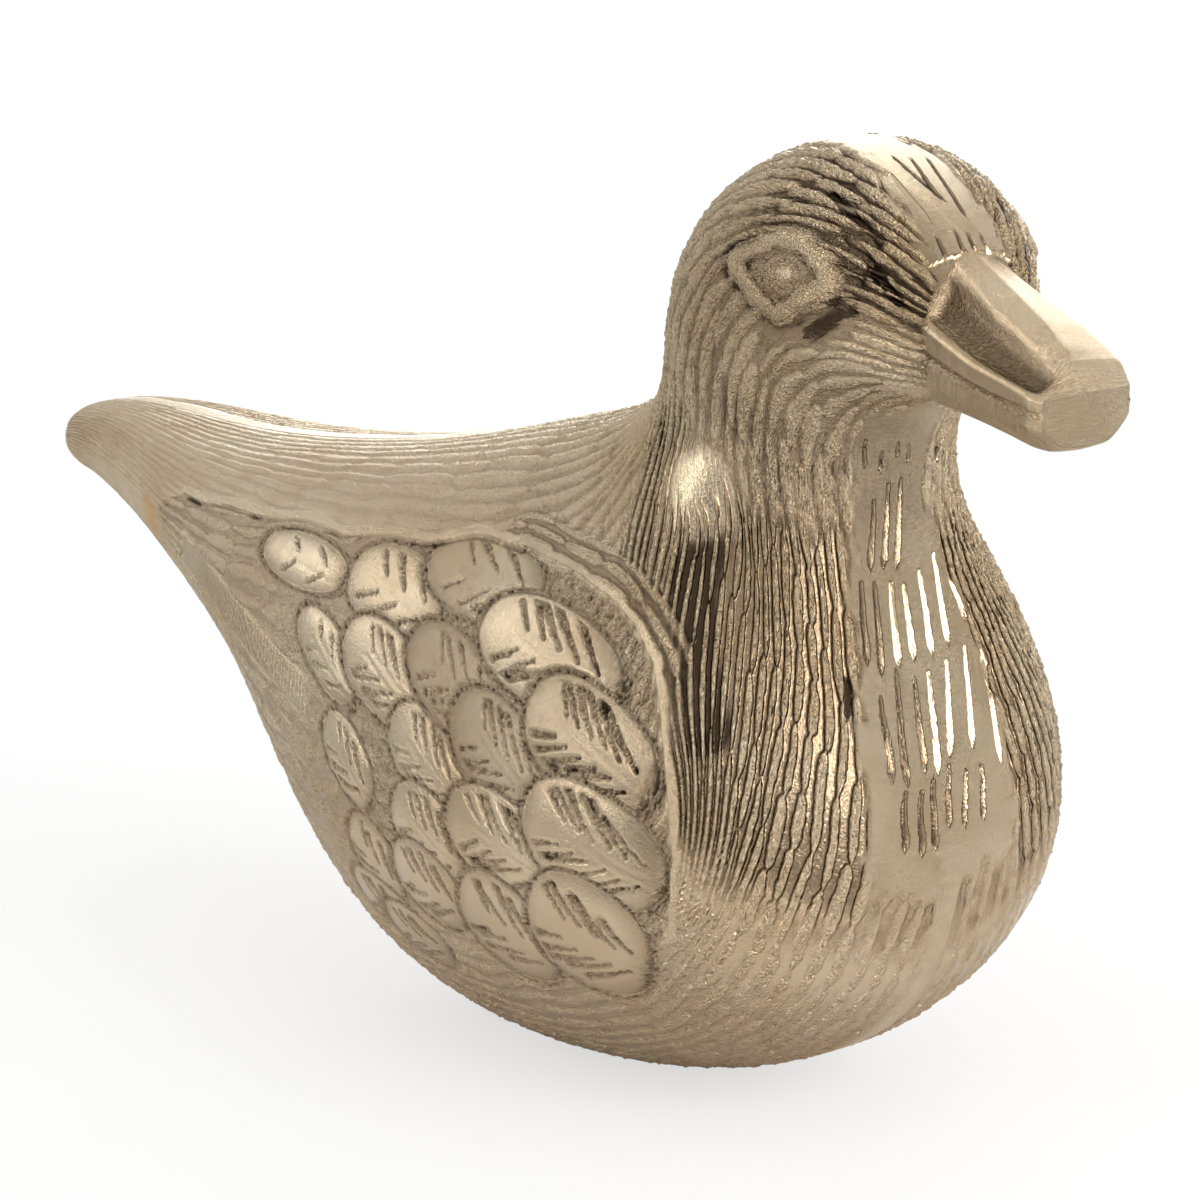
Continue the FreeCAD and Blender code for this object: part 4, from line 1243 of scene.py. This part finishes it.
def eye_axes():
    """Unit vectors along the eye towards its front corner, across it, and out of the head."""
    out = chart_normals[nearest_in_chart(eye_middle)]
    forward = eye_rim[FRONT_CORNER] - eye_rim[0]
    forward = forward / np.linalg.norm(forward)
    forward = forward - out * (forward @ out)
    forward = forward / np.linalg.norm(forward)
    return forward, np.cross(out, forward), out


def cubic_terms(u, v):
    """The terms of a cubic over two coordinates."""
    return np.stack([np.ones_like(u), u, v, u * u, u * v, v * v, u ** 3, u * u * v, u * v * v, v ** 3], -1)


def eye_bed(u, v, forward, across, out):
    """How far the head stands out behind each place of the eye, by a cubic fitted to the skin round it."""
    row, column = nearest_in_chart(eye_middle)
    near = chart[max(row - 60, 0):row + 60, max(column - 40, 0):column + 40].reshape(-1, 3) - eye_middle
    near_u, near_v, near_out = near @ forward, near @ across, near @ out
    kept = (np.abs(near_u) < 12) & (np.abs(near_v) < 10)
    fit = np.linalg.lstsq(cubic_terms(near_u[kept], near_v[kept]), near_out[kept], rcond=None)[0]
    return cubic_terms(u, v) @ fit


def eye_relief(u, v, flat, forward, across):
    """Height, grain and painted shade: a lozenge rim round a sunk bowl, and in it an oval ring and a domed
    pupil. The bowl gets painted shade, and the rim and pupil lose groove darkening.
    """
    away, reach = near_path(flat, eye_rim)
    away = away + 0.3 * wander(reach / 1.3, away / 2, 9) + 0.15 * wander(u / 0.9, v / 0.9, 8)
    corners = [((point - eye_middle) @ forward, (point - eye_middle) @ across) for point in eye_rim[:-1]]
    in_rim = inside(u, v, corners)
    rim = np.sqrt(np.clip(1 - (away / RIM_RADIUS) ** 2, 0, 1))
    bowl = np.where(in_rim, ramp(1.0, 1.9, away), 0)
    ring_u, ring_v = np.abs((u - 0.3) / RING_HALVES[0]), np.abs((v - 0.2) / RING_HALVES[1])
    ring = (ring_u ** RING_POWER + ring_v ** RING_POWER) ** (1 / RING_POWER)
    pupil = np.hypot(u / PUPIL_HALVES[0], (v - 0.2) / PUPIL_HALVES[1])
    border = np.maximum(np.abs(u) / EYE_HALVES[0], np.abs(v) / EYE_HALVES[1])
    height = -0.30 * (1 - bowl) - 0.75 * bowl + 0.90 * rim
    height += 0.55 * (1 - ramp(0.10, 0.34, np.abs(ring - 1)))
    height += 0.95 * np.sqrt(np.clip(1 - pupil ** 2, 0, 1))
    height += 0.2 * (1 - ramp(0.8, 2.0, np.linalg.norm(flat - eye_rim[FRONT_CORNER], axis=-1)))
    height -= 0.75 * ramp(1.6, 3.2, np.where(in_rim, 0, away))
    height -= 0.6 * ramp(0.88, 1.0, border)
    grain = 0.9 * (1 - 0.5 * (pupil < 1))
    height += 0.10 * grain * np.clip(np.random.default_rng(21).standard_normal(u.shape), -2, 2)
    return height, grain, 0.42 * bowl - 0.5 * (pupil < 1) - 0.6 * rim


def dress_eye(side):
    """The eye on one side of the head, -1 on the right and 1 on the left."""
    forward, across, out = eye_axes()
    steps = [np.linspace(-half, half, count) for half, count in zip(EYE_HALVES, EYE_STEPS)]
    u, v = np.meshgrid(*steps, indexing="ij")
    flat = eye_middle + u[..., None] * forward + v[..., None] * across
    flat = flat + out * eye_bed(u, v, forward, across, out)[..., None]
    height, grain, painted_shade = eye_relief(u, v, flat, forward, across)
    points = flat + out * height[..., None]
    inner = flat - out * EYE_BACK
    facing = sheet_normals(points, points)
    if facing[EYE_STEPS[0] // 2, EYE_STEPS[1] // 2] @ out < 0:
        facing = -facing
    if side > 0:
        points, inner, facing = points * MIRROR, inner * MIRROR, facing * MIRROR
    form = {"height": np.clip(height, -0.9, 0), "grain": grain, "ground": np.full(u.shape, 0.28),
            "tarnish": np.zeros(u.shape), "painted_shade": painted_shade}
    side_name = "right" if side < 0 else "left"
    piece = shell(f"{side_name}_eye", form, points, inner, facing, *lengths(points))
    finish_piece(piece, cast_brass, "cast_brass", f"{side_name}_casting")


def dress_pads():
    """Four soft round pads under the flat base."""
    for name in ("front_right_pad", "front_left_pad", "rear_right_pad", "rear_left_pad"):
        low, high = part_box(name)
        bpy.ops.object.select_all(action="DESELECT")
        bpy.ops.mesh.primitive_cylinder_add(
            vertices=64, radius=PAD_DIAMETER / 2 * MM, depth=PAD_HEIGHT * MM,
            location=((low[0] + high[0]) / 2, (low[1] + high[1]) / 2, PAD_HEIGHT / 2 * MM))
        pad = bpy.context.active_object
        pad.name = f"{name}_soft"
        bpy.ops.object.transform_apply(location=True, rotation=True, scale=True)
        bpy.ops.object.mode_set(mode="EDIT")
        bpy.ops.mesh.select_all(action="SELECT")
        bpy.ops.mesh.bevel(offset=PAD_EDGE * MM, segments=4, affect="EDGES")
        bpy.ops.object.mode_set(mode="OBJECT")
        bpy.ops.object.shade_smooth_by_angle(angle=0.7)
        finish_piece(pad, soft_pad, "soft_pad", name)


dress_half("right", 1, False)
dress_half("left", 101, True)
dress_weld()
dress_bill()
dress_eye(-1)
dress_eye(1)
dress_pads()


FLOOR_SIZE = 9.0
FLOOR_GLOW = 0.65
# Dark cards, which only the metal sees. The side card: its azimuths, its low and high edge and its distance
DARK = (0.012, 0.010, 0.008, 1)
SIDE_CARD = (6, 44, -0.30, 0.38, 1.5)
STRIP_AZIMUTHS = (-178, -112, -92, -72, -52, -32, -12, 72, 132, 152)
STRIP_HALF_ANGLE = 3
STRIP_TOP = 2.0
STRIP_DISTANCE = 1.55
CARD_STEPS = 24
# Dark spokes over the floor: how many, how wide in radians, and from where to where in metres
SPOKES = 18
SPOKE_ANGLE = 0.13
SPOKE_NEAR = 0.16
SPOKE_FAR = 1.3
SPOKE_HEIGHT = 0.002
# Soft lamps: name, azimuth and elevation in degrees, distance, width and height in metres, and power in watts
SOFT_LIGHTS = [
    ("right_front_softbox", 100, 16, 1.5, 0.9, 1.2, 17.0),
    ("rear_left_softbox", -142, 12, 1.6, 1.1, 1.2, 13.0),
    ("overhead_softbox", 20, 78, 1.6, 1.2, 1.2, 1.0),
]
# Small lamps all round, so that the sand grain glints: azimuth and elevation of each, then the distance,
# width and height in metres and the power in watts of all
GLINTS = [(-70, 30), (-35, 12), (0, 38), (38, 6), (66, 40), (98, 8), (128, 34), (160, 14)]
GLINT_LAMP = (1.2, 0.14, 0.14, 0.35)
# Small lamps that the neck's bulge and a feather mirror to the camera: name, place in the picture, power
MIRRORED_LAMPS = [("neck_softbox", NECK_BULGE, 0.8), ("feather_softbox", FEATHER_GLEAM, 0.5)]
MIRRORED_DISTANCE = 1.1
MIRRORED_SIZE = 0.22


def plain_material(name, colour, roughness):
    """A material of one colour."""
    material = bpy.data.materials.new(name)
    material.use_nodes = True
    shader = material.node_tree.nodes["Principled BSDF"]
    shader.inputs["Base Color"].default_value = colour
    shader.inputs["Roughness"].default_value = roughness
    return material


def studio_floor():
    """A pale floor that the camera sees lighter, so that its shadow stays and its far side is white."""
    bpy.ops.mesh.primitive_plane_add(size=FLOOR_SIZE, location=(0, 0, 0))
    made = bpy.context.active_object
    made.name = "studio_floor"
    material = plain_material("studio_floor", (0.86, 0.86, 0.86, 1), 0.9)
    tree = material.node_tree
    glow = node(tree, "ShaderNodeEmission", Strength=1.0, Color=(1, 1, 1, 1))
    mix = node(tree, "ShaderNodeMixShader")
    rays = node(tree, "ShaderNodeLightPath")
    tree.links.new(arithmetic(tree, "MULTIPLY", rays.outputs["Is Camera Ray"], FLOOR_GLOW), mix.inputs[0])
    join(tree, tree.nodes["Principled BSDF"], "BSDF", mix, 1)
    join(tree, glow, "Emission", mix, 2)
    join(tree, mix, "Shader", tree.nodes["Material Output"], "Surface")
    made.data.materials.append(material)
    made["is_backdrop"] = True


def unseen_card(name, vertices, faces):
    """A dark card that only the metal sees."""
    mesh = bpy.data.meshes.new(name)
    mesh.from_pydata(vertices, [], faces)
    made = bpy.data.objects.new(name, mesh)
    bpy.context.collection.objects.link(made)
    mesh.materials.append(plain_material(name, DARK, 1.0))
    for sight in ("visible_camera", "visible_diffuse", "visible_shadow", "visible_transmission"):
        setattr(made, sight, False)
    made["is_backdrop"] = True


def dark_card(name, azimuth_from, azimuth_to, low, high, distance):
    """A dark card curved round the duck."""
    azimuths = np.radians(np.linspace(azimuth_from, azimuth_to, CARD_STEPS))
    vertices = [(distance * np.sin(azimuth), -distance * np.cos(azimuth), z)
                for azimuth in azimuths for z in (low, high)]
    faces = [(2 * index, 2 * index + 1, 2 * index + 3, 2 * index + 2) for index in range(CARD_STEPS - 1)]
    unseen_card(name, vertices, faces)


def floor_spokes():
    """Dark spokes just over the floor."""
    vertices, faces = [], []
    for index in range(SPOKES):
        middle = 2 * np.pi * (index + 0.5) / SPOKES
        for radius, side in ((SPOKE_NEAR, -1), (SPOKE_NEAR, 1), (SPOKE_FAR, 1), (SPOKE_FAR, -1)):
            azimuth = middle + side * SPOKE_ANGLE / 2
            vertices.append((radius * np.sin(azimuth), -radius * np.cos(azimuth), SPOKE_HEIGHT))
        faces.append(tuple(range(4 * index, 4 * index + 4)))
    unseen_card("dark_floor_spokes", vertices, faces)


def soft_light(name, azimuth, elevation, distance, wide, high, power):
    """A rectangular lamp aimed at the duck's middle."""
    azimuth, elevation = np.radians(azimuth), np.radians(elevation)
    level = np.cos(elevation)
    away = np.array([np.sin(azimuth) * level, -np.cos(azimuth) * level, np.sin(elevation)])
    target = np.array([0.0, 0.0, 0.08])
    bpy.ops.object.light_add(type="AREA", location=tuple(target + away * distance))
    lamp = bpy.context.active_object
    lamp.name = name
    lamp.data.shape = "RECTANGLE"
    lamp.data.size = wide
    lamp.data.size_y = high
    lamp.data.energy = power
    lamp.rotation_euler = Vector(away.tolist()).to_track_quat("Z", "Y").to_euler()


def mirrored_lamp(name, at, power):
    """A small lamp where one place of the skin mirrors it to the camera."""
    middle = spot(*at)
    row, column = np.unravel_index(np.argmin(np.linalg.norm(chart - middle, axis=-1)), chart_seen.shape)
    out = chart_normals[row, column]
    to_camera = (camera_place - middle) / np.linalg.norm(camera_place - middle)
    way = 2 * (out @ to_camera) * out - to_camera
    azimuth, elevation = np.degrees(np.arctan2(way[0], -way[1])), np.degrees(np.arcsin(way[2]))
    soft_light(name, azimuth, elevation, MIRRORED_DISTANCE, MIRRORED_SIZE, MIRRORED_SIZE, power)


def studio_world():
    """White to the camera, and to the metal white at eye level and dimmer overhead."""
    world = bpy.data.worlds.new("studio")
    bpy.context.scene.world = world
    world.use_nodes = True
    tree = world.node_tree
    background = tree.nodes["Background"]
    background.inputs["Color"].default_value = (1, 1, 1, 1)
    path = node(tree, "ShaderNodeLightPath")
    seen = arithmetic(tree, "MAXIMUM", path.outputs["Is Camera Ray"], path.outputs["Is Transmission Ray"])
    height = node(tree, "ShaderNodeSeparateXYZ")
    join(tree, node(tree, "ShaderNodeTexCoord"), "Generated", height, "Vector")
    dimmed = ranged(tree, height.outputs["Z"], 0.30, 0.90, top=0.30)
    unseen = arithmetic(tree, "SUBTRACT", 1.0, seen)
    strength = arithmetic(tree, "SUBTRACT", 1.0, arithmetic(tree, "MULTIPLY", unseen, dimmed))
    tree.links.new(strength, background.inputs["Strength"])


def picture_camera():
    """The camera that took the picture."""
    data = bpy.data.cameras.new("picture_camera")
    camera = bpy.data.objects.new("picture_camera", data)
    bpy.context.collection.objects.link(camera)
    data.sensor_width = SENSOR
    data.lens = FOCAL_PIXELS / (2 * PICTURE_MIDDLE) * SENSOR
    data.clip_start = 0.05
    data.clip_end = 50
    camera.location = (camera_place * MM).tolist()
    camera.rotation_euler = Vector(view_back.tolist()).to_track_quat("Z", "Y").to_euler()
    bpy.context.scene.camera = camera
    bpy.context.scene.view_settings.view_transform = "Standard"


studio_floor()
studio_world()
dark_card("dark_studio_side", *SIDE_CARD)
for number, middle in enumerate(STRIP_AZIMUTHS):
    dark_card(f"dark_strip_{number}", middle - STRIP_HALF_ANGLE, middle + STRIP_HALF_ANGLE, 0.0, STRIP_TOP,
              STRIP_DISTANCE)
floor_spokes()
for lamp_settings in SOFT_LIGHTS:
    soft_light(*lamp_settings)
for number, (azimuth, elevation) in enumerate(GLINTS):
    soft_light(f"glint_lamp_{number}", azimuth, elevation, *GLINT_LAMP)
for name, at, power in MIRRORED_LAMPS:
    mirrored_lamp(name, at, power)
picture_camera()

for box_name, box in (("cad", cad_box), ("visual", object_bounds())):
    print(box_name, [[round(float(value), 5) for value in corner] for corner in box])
